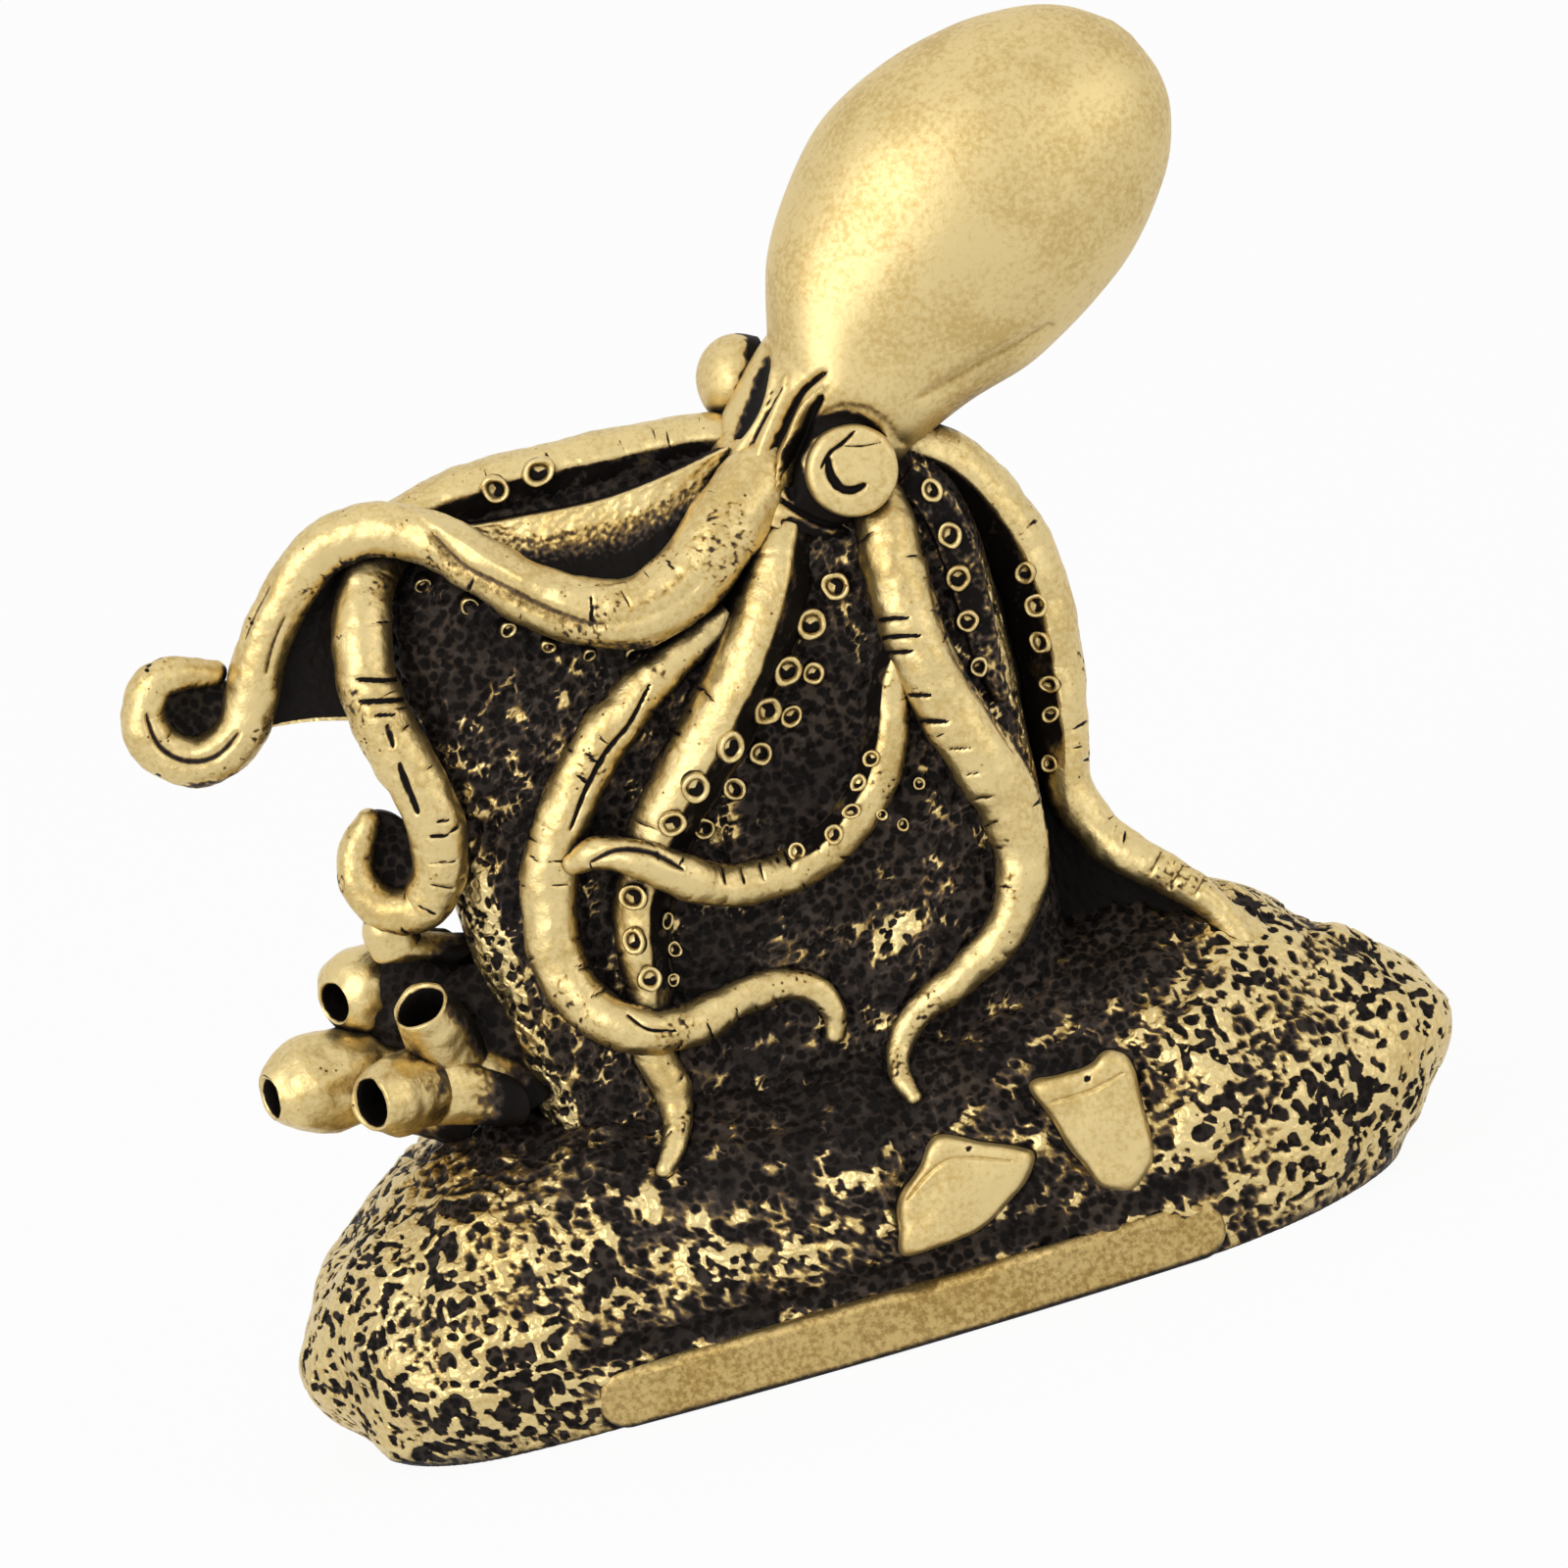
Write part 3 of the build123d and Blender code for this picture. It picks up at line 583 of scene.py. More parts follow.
def brass(name, recess_reach, recess_range, stain, roughness, grain, comb=0.0, dull=0.0, dots=0.0):
    """Cast brass that is bright where it is worn, dark in its hollows and dark where its pieces carry painted
    shade. Comb is how much fine pits show in the dark, dull is how dark the brass is all over, and dots is
    how dark its few small pores are."""
    material, tree = nodes_of(name)
    links = tree.links

    def plus(first, second):
        return math_node(tree, "ADD", first, second)

    def minus(first, second):
        return math_node(tree, "SUBTRACT", first, second)

    def times(first, second):
        return math_node(tree, "MULTIPLY", first, second)

    def darker(first, second):
        return math_node(tree, "MAXIMUM", first, second)

    place = add_node(tree, "ShaderNodeTexCoord").outputs["Object"]
    # The patina attribute: patina in hollows, and on the arms, the body and the sponges also painted shade
    hollow = add_node(tree, "ShaderNodeAttribute", attribute_type="GEOMETRY", attribute_name="patina")
    shade = add_node(tree, "ShaderNodeAmbientOcclusion", samples=8)
    shade.inputs["Distance"].default_value = recess_reach * MM
    mottle = noise_node(tree, place, mottle_size)
    fine = noise_node(tree, place, fine_size, detail=3.0)
    cloud = noise_node(tree, place, cloud_size, detail=3.0)
    fine_change = minus(fine, 0.5)

    uneven = times(minus(mottle, 0.5), stain)
    speck = times(fine_change, stain * speck_share)
    recess = plus(plus(minus(1.0, shade.outputs["AO"]), uneven), speck)
    deep = range_node(tree, recess, *recess_range)
    marked = range_node(tree, plus(hollow.outputs["Fac"], times(speck, patina_speck_share)), *patina_range)
    pores = range_node(tree, cell_node(tree, place, pore_size), *pore_range, dots, 0.0)
    dark = darker(darker(deep, marked), times(pores, range_node(tree, mottle, *pore_patch_range)))
    if dull:
        least, most = (1 - blotch_share) * dull, (1 + blotch_share) * dull
        dark = darker(dark, range_node(tree, fine, *blotch_range, least, most))
    relief = plus(fine, times(mottle, mottle_relief_share))
    if comb:
        ridge = honeycomb(tree, place)
        worn = times(ridge, range_node(tree, cloud, *comb_patch_range, comb_least_share, 1.0))
        dark = minus(dark, times(worn, comb))
        relief = plus(relief, times(ridge, comb_relief_share))

    ramp = add_node(tree, "ShaderNodeValToRGB")
    stops = ramp.color_ramp.elements
    stops[0].position, stops[0].color = 0.0, bright_brass
    stops[1].position, stops[1].color = 1.0, black_patina
    for position, colour in patina_stops:
        stops.new(position).color = colour
    links.new(dark, ramp.inputs["Fac"])
    tint = add_node(tree, "ShaderNodeMix", data_type="RGBA", blend_type="MULTIPLY")
    tinted = range_node(tree, plus(cloud, fine_change), *tint_range, 0.0, tint_share)
    links.new(tinted, tint.inputs["Factor"])
    links.new(ramp.outputs["Color"], tint.inputs[mix_first])
    tint.inputs[mix_second].default_value = warm_tint

    shader = add_node(tree, "ShaderNodeBsdfPrincipled")
    metallic = range_node(tree, dark, *metal_range, brass_metallic, patina_metallic)
    specular = range_node(tree, dark, *metal_range, brass_specular, patina_specular)
    rough = range_node(tree, dark, 0.0, 1.0, roughness, patina_roughness)
    bump = add_node(tree, "ShaderNodeBump")
    bump.inputs["Strength"].default_value = grain
    bump.inputs["Distance"].default_value = grain_depth * MM
    links.new(relief, bump.inputs["Height"])
    links.new(tint.outputs[mix_result], shader.inputs["Base Color"])
    links.new(metallic, shader.inputs["Metallic"])
    links.new(specular, shader.inputs["Specular IOR Level"])
    links.new(plus(rough, times(fine_change, roughness_change)), shader.inputs["Roughness"])
    links.new(bump.outputs["Normal"], shader.inputs["Normal"])
    links.new(shader.outputs["BSDF"], tree.nodes["Material Output"].inputs["Surface"])
    return material


polished = brass("polished_brass", 1.6, (0.48, 0.82), stain=0.20, roughness=0.46, grain=0.45)
mottled = brass("mottled_brass", 1.6, (0.42, 0.80), stain=0.30, roughness=0.46, grain=0.45, dull=0.29)
antique = brass("antique_brass", 2.2, (0.36, 0.68), stain=0.40, roughness=0.38, grain=0.80, dots=0.5)
pitted = brass("pitted_brass", 2.4, (0.50, 0.86), stain=0.30, roughness=0.36, grain=0.80, comb=0.26)
darkened = brass("dark_brass", 2.2, (0.10, 0.42), stain=0.50, roughness=0.42, grain=0.80, comb=0.16)


# Mound and rock
mound_step, mound_columns, mound_front_weight = 0.17, 272, 2.2
rock_step, rock_columns, rock_front_weight = 0.12, 380, 1.7
# The rock's half width where its columns are spaced, as a share of half the face width, and the points
# at which an outline is measured
rock_reach_share = 1.1
outline_samples = 4001
# The rounded top edge of the rock: its rows, its height and how small its last ring is
crown_rows = 13
crown_height = 0.8
crown_least_share = 0.02
# Sizes of the swellings, of the parts with crowded pits and of the warp that makes the pits uneven
swell_size = 2.6
crowding_size = 2.2
warp_size_share, warp_share = 1.7, 0.80
# A form's face looks forward or back where its outward direction does by more than this
face_least = 0.3
# Pits: the gaps to a pit's edge between which it falls to its floor, its patina at the edge and how fast
# that grows, and the gaps between two pits over which a ridge rises
pit_edge = (-0.06, 0.20)
pit_edge_patina = 0.45
pit_patina_rise = 3.6
ridge_edge = (0.34, 0.05)
# The brightness between which a place turns worn, how dark a pit is where it isn't, and how much lighter
# ridges are
worn_edge = (0.34, 0.62)
pit_patina_share = 0.6
ridge_lighter = 0.22
# The noise between which bright flecks come in, and how much greyer the shade is
fleck_edge = (0.12, 0.40)
grey_shade = 0.30


def row_at(rows, keys):
    """Columns of a table at keys in its first column."""
    table = np.asarray(rows, float)
    return [np.interp(keys, table[:, 0], table[:, k]) for k in range(1, table.shape[1])]


def mound_front(x, z):
    """How far the mound reaches forward of the middle plane."""
    depth, low, high = row_at(mound_shares, x / (base_length / 2))
    centre, half = (low + high) / 2 * base_height, (high - low) / 2 * base_height
    inside = np.clip(1 - ((z - centre) / half) ** 2, 0, None)
    return depth * base_depth / 2 * np.sqrt(inside)


def rock_front(x, z):
    """How far the rock reaches forward of the middle plane."""
    left, right, depth = row_at(rock_shares, (z - base_height) / rock_rise)
    centre, half = (left + right) / 2 * half_face, (right - left) / 2 * half_face
    inside = np.clip(1 - np.abs((x - centre) / half) ** rock_squareness, 0, None)
    return depth * half_rock * inside ** (1 / rock_squareness)


def mound_outline(turn):
    """The mound's outline across its length, as a circle round zero."""
    return np.sin(turn), -np.cos(turn)


def rock_outline(turn):
    """The rock's outline seen from above, as a rounded square round zero."""
    c, s = np.cos(turn), np.sin(turn)
    share = 2 / rock_squareness
    return np.sign(s) * np.abs(s) ** share, -np.sign(c) * np.abs(c) ** share


def weighted_turns(outline, half_sizes, count, front_weight):
    """Turns at which an outline is cut into a count of points, closer together at its front."""
    fine = np.linspace(-pi, pi, outline_samples)
    across, back = outline(fine)
    weight = np.where(back[1:] < 0, front_weight, 1.0)
    steps = np.hypot(np.diff(across) * half_sizes[0], np.diff(back) * half_sizes[1]) * weight
    lengths = np.concatenate([[0], np.cumsum(steps)])
    return np.interp(np.linspace(0, lengths[-1], count + 1)[:-1], lengths, fine)


def ring_grid(x, y, z):
    """A grid of rings from its places along each axis."""
    return np.stack(np.broadcast_arrays(x, y, z), axis=-1)


def pits(points, size, threshold, seed):
    """Height from 0 on top to -1 in a pit, patina, and how near a place is to the ridge between pits, for
    round pits that grow together where the threshold is high."""
    warp = np.stack([waves(points, size * warp_size_share, seed + k) for k in range(3)], axis=-1)
    near, after = cells(points + warp * size * warp_share, size, seed)
    gap = threshold - near
    patina = np.clip(pit_edge_patina + gap * pit_patina_rise, 0, 1)
    return -smooth_step(*pit_edge, gap), patina, smooth_step(*ridge_edge, after - near)


def soft_spots(x, z, spots):
    """The highest of several soft spots at each place. A spot has a middle, a half width, a half height
    and a strength."""
    total = np.zeros(np.shape(x))
    for middle_x, middle_z, half_x, half_z, strength in spots:
        gap = ((x - middle_x) / half_x) ** 2 + ((z - middle_z) / half_z) ** 2
        total = np.maximum(total, strength * np.exp(-gap))
    return total


def hollows(grid, out):
    """How deep the rock's broad hollows are at each place of its faces."""
    deep = np.zeros(grid.shape[:2])
    for rows, side in ((back_hollow_shares, 1), (front_hollow_shares, -1)):
        for x_share, z_share, depth_share in rows:
            x, z = x_share * half_face, base_height + z_share * rock_rise
            ball = hollow_ball_radius - hollow_depth * depth_share
            gap = np.hypot(grid[..., 0] - x, grid[..., 2] - z)
            cut = np.sqrt(np.clip(hollow_ball_radius**2 - gap**2, 0, None)) - ball
            deep = np.maximum(deep, np.where(side * out[..., 1] > face_least, cut, 0))
    return deep


# Where the mound and the rock are worn bright and where they stay dark: middle x and z, half width and
# half height, and strength
mound_worn_spots = [
    (-21.4, 4.5, 3.2, 5.8, 1.0),
    (-15.6, 3.0, 4.2, 3.2, 0.86),
    (-17.6, 8.0, 4.0, 2.6, 0.80),
    (-18.0, 0.8, 7.0, 1.5, 0.95),
    (-11.0, 6.4, 3.2, 2.2, 0.66),
    (-7.0, 5.4, 3.0, 1.6, 0.58),
    (21.4, 5.2, 3.4, 5.0, 1.0),
    (17.4, 3.0, 3.8, 2.8, 0.84),
    (16.4, 10.4, 2.8, 2.2, 0.90),
    (13.2, 7.8, 2.4, 1.5, 0.74),
    (12.6, 4.8, 1.6, 1.8, 0.72),
    (-2.8, 5.0, 2.6, 1.0, 0.46),
    (6.6, 6.2, 1.2, 0.8, 0.56),
]
mound_dark_spots = [
    (11.4, 11.8, 2.7, 1.8, 1.3),
    (0.0, 9.6, 9.0, 2.8, 0.9),
    (-12.6, 11.4, 3.2, 1.2, 0.9),
    (8.6, 8.8, 2.2, 1.0, 0.8),
    (5.6, 4.2, 1.0, 2.0, 0.8),
]
rock_worn_spots = [
    (-12.4, 17.5, 0.8, 3.0, 0.8),
    (-6.6, 26.0, 2.4, 2.2, 0.30),
    (3.6, 14.6, 1.9, 1.2, 0.60),
    (10.6, 20.0, 0.5, 9.0, 0.9),
]
rock_dark_spots = [
    (2.6, 21.5, 2.6, 4.0, 0.9),
    (-9.6, 29.6, 4.0, 1.6, 0.9),
    (-3.5, 14.6, 1.6, 2.6, 0.8),
    (8.0, 13.0, 2.2, 2.2, 0.8),
    (-2.0, 33.0, 8.0, 1.6, 1.2),
    (-8.6, 19.0, 1.2, 4.0, 0.7),
]
# The bevel down the rock's left side, which is worn bright: half width and line in the photograph
rock_bevel_width = 0.80
rock_bevel = from_pixels([(474, 900), (490, 950), (513, 1012), (541, 1080), (570, 1150)])
# Swellings of the mound: middle, reach and height
mound_lumps = [
    (11.4, 0.0, 12.0, 2.5, 1.5),
    (15.7, -1.0, 11.4, 1.4, 0.75),
    (19.6, -2.0, 8.6, 1.5, 0.35),
    (21.6, -1.5, 5.2, 1.2, 0.30),
    (-19.0, -4.0, 7.5, 1.8, 0.25),
]
# Pitted surfaces: size and depth of the pits, how crowded they are, how much that changes and how much
# less they crowd where the rock is worn; size and strength of the bright patches and how much shade takes
# from them; how grey the rest is, over what size that changes and by how much; and size and strength of
# the bright flecks and how much shade takes from them. A seed picks another pattern
mound_surface = {
    "pit_size": 0.52, "pit_depth": 0.18, "pit_seed": 3,
    "crowded": 0.58, "crowding": 0.20, "worn_crowded": 0.05,
    "patch_size": 1.5, "patches": 0.30, "patch_seed": 5, "patch_shade": 0.6,
    "grey": 0.64, "grey_size": 0.9, "grey_change": 0.16,
    "fleck_size": 0.9, "flecks": 0.70, "fleck_seed": 9, "fleck_shade": 0.8,
}
rock_surface = {
    "pit_size": 0.44, "pit_depth": 0.16, "pit_seed": 4,
    "crowded": 0.50, "crowding": 0.10, "worn_crowded": 0.06,
    "patch_size": 1.4, "patches": 0.26, "patch_seed": 6, "patch_shade": 0.3,
    "grey": 0.76, "grey_size": 1.1, "grey_change": 0.14,
    "fleck_size": 0.8, "flecks": 0.36, "fleck_seed": 10, "fleck_shade": 1.0,
}
crowding_seed = 7
grey_seed = 8
# On the mound: how high the swellings are and how much brighter they make it, how much of its foot stays
# flat, how much the pits thin out and the grey clears towards its ends and where, and how far worn tops
# stand up
swell_height = 0.38
swell_bright = 0.24
foot_height = 0.7
end_thinning, end_thinning_from = 0.08, (18.5, 22)
end_clearing, end_clearing_from = 0.10, (10, 16)
worn_height, worn_height_edge = 0.10, (0.35, 0.60)
# The groove above the plaque: half length and its soft end, height, half width and depth
groove_half_length = 12.4
groove_end = (0.8, -0.2)
groove_height = 3.0
groove_half_width = 0.5
groove_depth = 0.25
# The mound's underside: up to what height it is plain, and its patina
underside_height = 0.02
underside_patina = 0.35
# On the rock: how uneven it is, how bright its bevel is and how much the grey clears where it is worn
rock_uneven = 0.08
bevel_bright = 1.1
worn_clearing = 0.16


def pitted_surface(grid, form, worn, shade, swell_part=0, thinning=0, clearing=0):
    """Height, patina and brightness of a pitted surface at each place."""
    bright = worn + form["patches"] * waves(grid, form["patch_size"], form["patch_seed"]) + swell_part
    bright = bright - form["patch_shade"] * shade
    crowding = form["crowding"] * waves(grid, crowding_size, crowding_seed)
    threshold = form["crowded"] - form["worn_crowded"] * np.clip(worn, 0, 1) + crowding - thinning
    height, pit_patina, ridge = pits(grid, form["pit_size"], threshold, form["pit_seed"])
    grey = form["grey"] + form["grey_change"] * waves(grid, form["grey_size"], grey_seed)
    grey = grey + grey_shade * shade - clearing
    worn_part = smooth_step(*worn_edge, bright)
    pit_patina = pit_patina * (pit_patina_share + (1 - pit_patina_share) * worn_part)
    patina = np.clip(np.maximum(pit_patina, (grey - ridge_lighter * ridge) * (1 - worn_part)), 0, 1)
    fleck = ridge * smooth_step(*fleck_edge, waves(grid, form["fleck_size"], form["fleck_seed"]))
    patina = patina * (1 - form["flecks"] * fleck * np.clip(1 - form["fleck_shade"] * shade, 0, 1))
    return form["pit_depth"] * height, patina, bright


def make_mound():
    """Long rounded rock with pits, flat underneath."""
    table = np.asarray(mound_shares) * [base_length / 2, base_depth / 2, base_height, base_height]
    rows = along(table, even_places(table, mound_step))
    x, half_depth, low, high = rows.T[:, :, None]
    turns = weighted_turns(mound_outline, (1, 1), mound_columns, mound_front_weight)
    up, back = mound_outline(turns)
    grid = ring_grid(x, half_depth * back, (high + low) / 2 + (high - low) / 2 * up)
    out = tube_normals(grid)
    above = smooth_step(0.0, foot_height, grid[..., 2])
    swell = waves(grid, swell_size, 1)
    grid = grid + out * (swell * swell_height * above)[..., None]
    for *middle, reach, rise in mound_lumps:
        gap = np.linalg.norm(grid - middle, axis=-1)
        grid = grid + out * (rise * np.exp(-((gap / reach) ** 2)))[..., None]
    x, z = grid[..., 0], grid[..., 2]
    groove = np.exp(-(((z - groove_height) / groove_half_width) ** 2))
    groove = groove * smooth_step(*groove_end, np.abs(x) - groove_half_length) * (out[..., 1] < 0)
    grid = grid - out * (groove_depth * groove)[..., None]
    worn = soft_spots(x, z, mound_worn_spots)
    shade = np.maximum(soft_spots(x, z, mound_dark_spots), groove)
    thinning = end_thinning * smooth_step(*end_thinning_from, np.abs(x))
    clearing = end_clearing * smooth_step(*end_clearing_from, np.abs(x))
    height, patina, bright = pitted_surface(
        grid, mound_surface, worn, shade, swell_bright * swell, thinning, clearing
    )
    raised = worn_height * smooth_step(*worn_height_edge, bright)
    grid = grid + out * ((height + raised) * above)[..., None]
    grid[..., 2] = np.maximum(grid[..., 2], 0)
    patina = np.where(grid[..., 2] < underside_height, underside_patina, patina)
    return make_tube("cast_base_mound", grid, patina, pitted, "pitted_brass", "base_mound")


def make_rock():
    """Upright slab with a pitted face."""
    table = np.asarray(rock_shares) * [rock_rise, half_face, half_face, half_rock] + [base_height, 0, 0, 0]
    rows = along(table, even_places(table, rock_step, axes=1))
    top, left, right, depth = rows[-1]
    for turn in np.linspace(0, pi / 2, crown_rows + 1)[1:]:
        size = cos(turn) * (1 - crown_least_share) + crown_least_share
        middle, reach = (left + right) / 2, (right - left) / 2 * size
        row = [top + crown_height * sin(turn), middle - reach, middle + reach, depth * size]
        rows = np.vstack([rows, row])
    sizes = (rock_reach_share * half_face, half_rock)
    turns = weighted_turns(rock_outline, sizes, rock_columns, rock_front_weight)
    across, back = rock_outline(turns)
    z, left, right, depth = rows.T[:, :, None]
    grid = ring_grid((left + right) / 2 + (right - left) / 2 * across, depth * back, z)
    out = tube_normals(grid)
    grid = grid + out * (waves(grid, swell_size, 2) * rock_uneven - hollows(grid, out))[..., None]
    worn = soft_spots(grid[..., 0], grid[..., 2], rock_worn_spots)
    bevel = np.exp(-((line_distance(seen_place(grid), rock_bevel)[0] / rock_bevel_width) ** 2))
    worn = np.maximum(worn, bevel_bright * bevel * (out[..., 1] < face_least))
    shade = soft_spots(grid[..., 0], grid[..., 2], rock_dark_spots)
    clearing = worn_clearing * np.clip(worn, 0, 1)
    height, patina, _ = pitted_surface(grid, rock_surface, worn, shade, clearing=clearing)
    grid = grid + out * height[..., None]
    return make_tube("cast_rock_slab", grid, patina, pitted, "pitted_brass", "rock_slab")


# Arms
arm_step, arm_columns = 0.08, 72
# Rings that round an arm's tip
tip_rows = 7
# A flat side fades over a share of the arm's length and has soft edges, as shares of its half width. The
# cosine by which it is pressed in stays above a least one
face_fade_share = 0.15
face_edge_shares = (0.80, 1.08)
least_cosine = 0.05


def seated_route(rows):
    """Centre points and radii of an arm that lies on the front of the rock and the mound."""
    x_share, z_share, standoff, radius_share = np.asarray(rows, float).T
    x, z, radius = x_share * half_face, base_height + z_share * rock_rise, radius_share * arm_radius
    mound, rock = mound_front(x, z), rock_front(x, z)
    blend = np.maximum(seat_blend - np.abs(mound - rock), 0)
    front = np.maximum(mound, rock) + blend**2 / (4 * seat_blend)
    return np.stack([x, -front - standoff * radius, z, radius], axis=-1)


def free_route(rows):
    """Centre points and radii of an arm that leaves the rock."""
    sizes = [half_face, half_rock, rock_rise, arm_radius]
    return np.asarray(rows, float) * sizes + [0, 0, base_height, 0]


def arm_grid(route, face=None):
    """Rings along an arm. A face is a flat side: the turn that it looks, its half width in degrees and
    the place along the arm where it ends. Returns the grid, the turns and how flat each place is."""
    places = even_places(route, arm_step)
    rows = along(route, places)
    centre, radius = rows[:, :3], rows[:, 3]
    way = unit(np.gradient(centre, axis=0))
    tip, end, tip_radius = centre[-1], way[-1], radius[-1]
    for turn in np.linspace(0, pi / 2, tip_rows + 2)[1:-1]:
        centre = np.vstack([centre, tip + end * tip_radius * sin(turn)])
        radius = np.append(radius, tip_radius * cos(turn))
        way = np.vstack([way, end])
        places = np.append(places, 1.0)
    forward = np.array([0.0, -1.0, 0.0])
    ahead = unit(forward - way * (way @ forward)[:, None])
    side = np.cross(way, ahead)
    turns = np.linspace(-pi, pi, arm_columns, endpoint=False)
    reach = np.repeat(radius[:, None], arm_columns, axis=1)
    flat = np.zeros_like(reach)
    if face:
        looks, half_width, ends = radians(face[0]), radians(face[1]), face[2]
        gap = np.abs((turns - looks + pi) % (2 * pi) - pi)
        pressed = np.where(gap < half_width, cos(half_width) / np.maximum(np.cos(gap), least_cosine), 1.0)
        fade = 1 - smooth_step(ends - face_fade_share, ends, places)[:, None]
        reach = reach * (1 - fade * (1 - pressed))
        flat = fade * (1 - smooth_step(*(half_width * share for share in face_edge_shares), gap))
    around = ahead[:, None] * np.cos(turns)[:, None] + side[:, None] * np.sin(turns)[:, None]
    return centre[:, None] + reach[..., None] * around, turns, flat


# Cuts: what faces the viewer enough to be cut, how many widths a cut reaches, how many points its line is
# smoothed to for each of its own, and how wide its ends are. From a darkness on, its patina is uneven
cut_facing = (-0.05, 0.30)
cut_reach = 3
cut_smoothing = 5
cut_end_share = 0.25
uneven_from = 0.65
uneven_share = 0.40
uneven_size = 0.30


def carve(grid, out, patina, cuts):
    """Presses cuts, given as they show in the view, into the side of a form that faces the viewer. A cut has
    a width, a depth, a darkness and the points of its line. Depths below zero are ridges, a depth of zero
    only darkens the colour, and a darkness below zero makes the form brighter there."""
    places = seen_place(grid)
    facing = smooth_step(*cut_facing, -out[..., 1])
    grid, patina = grid.copy(), patina.copy()
    for width, depth, darkness, line in cuts:
        line = np.asarray(line, float)
        if len(line) > 2:
            line = along(line, np.linspace(0, 1, cut_smoothing * len(line)))
        reach = cut_reach * width
        near = np.all((places > line.min(axis=0) - reach) & (places < line.max(axis=0) + reach), axis=-1)
        if not near.any():
            continue
        gap, share = line_distance(places[near], line)
        taper = cut_end_share + (1 - cut_end_share) * np.sqrt(np.clip(4 * share * (1 - share), 0, 1))
        cut = np.exp(-((gap / (width * taper)) ** 2)) * facing[near]
        grid[near] -= out[near] * (depth * cut)[:, None]
        if darkness < 0:
            patina[near] *= 1 + darkness * cut
            continue
        if darkness > uneven_from:
            cut = cut * (1 + uneven_share * waves(grid[near], uneven_size, 23))
        patina[near] = np.maximum(patina[near], darkness * cut)
    return grid, patina


def pixel_cuts(rows):
    """Cuts whose lines are given in pixels of the photograph."""
    return [(*kind, from_pixels(line)) for *kind, line in rows]


# Flat sides of the arms: the turn that they look, their half width in degrees and where they end
arm_faces = {
    "front_centre": (-58, 52, 0.72),
    "over_top": (-20, 46, 0.46),
    "hooked": (60, 34, 0.62),
    "side_right": (44, 50, 0.62),
    "rock_edge": (0, 60, 0.95),
}
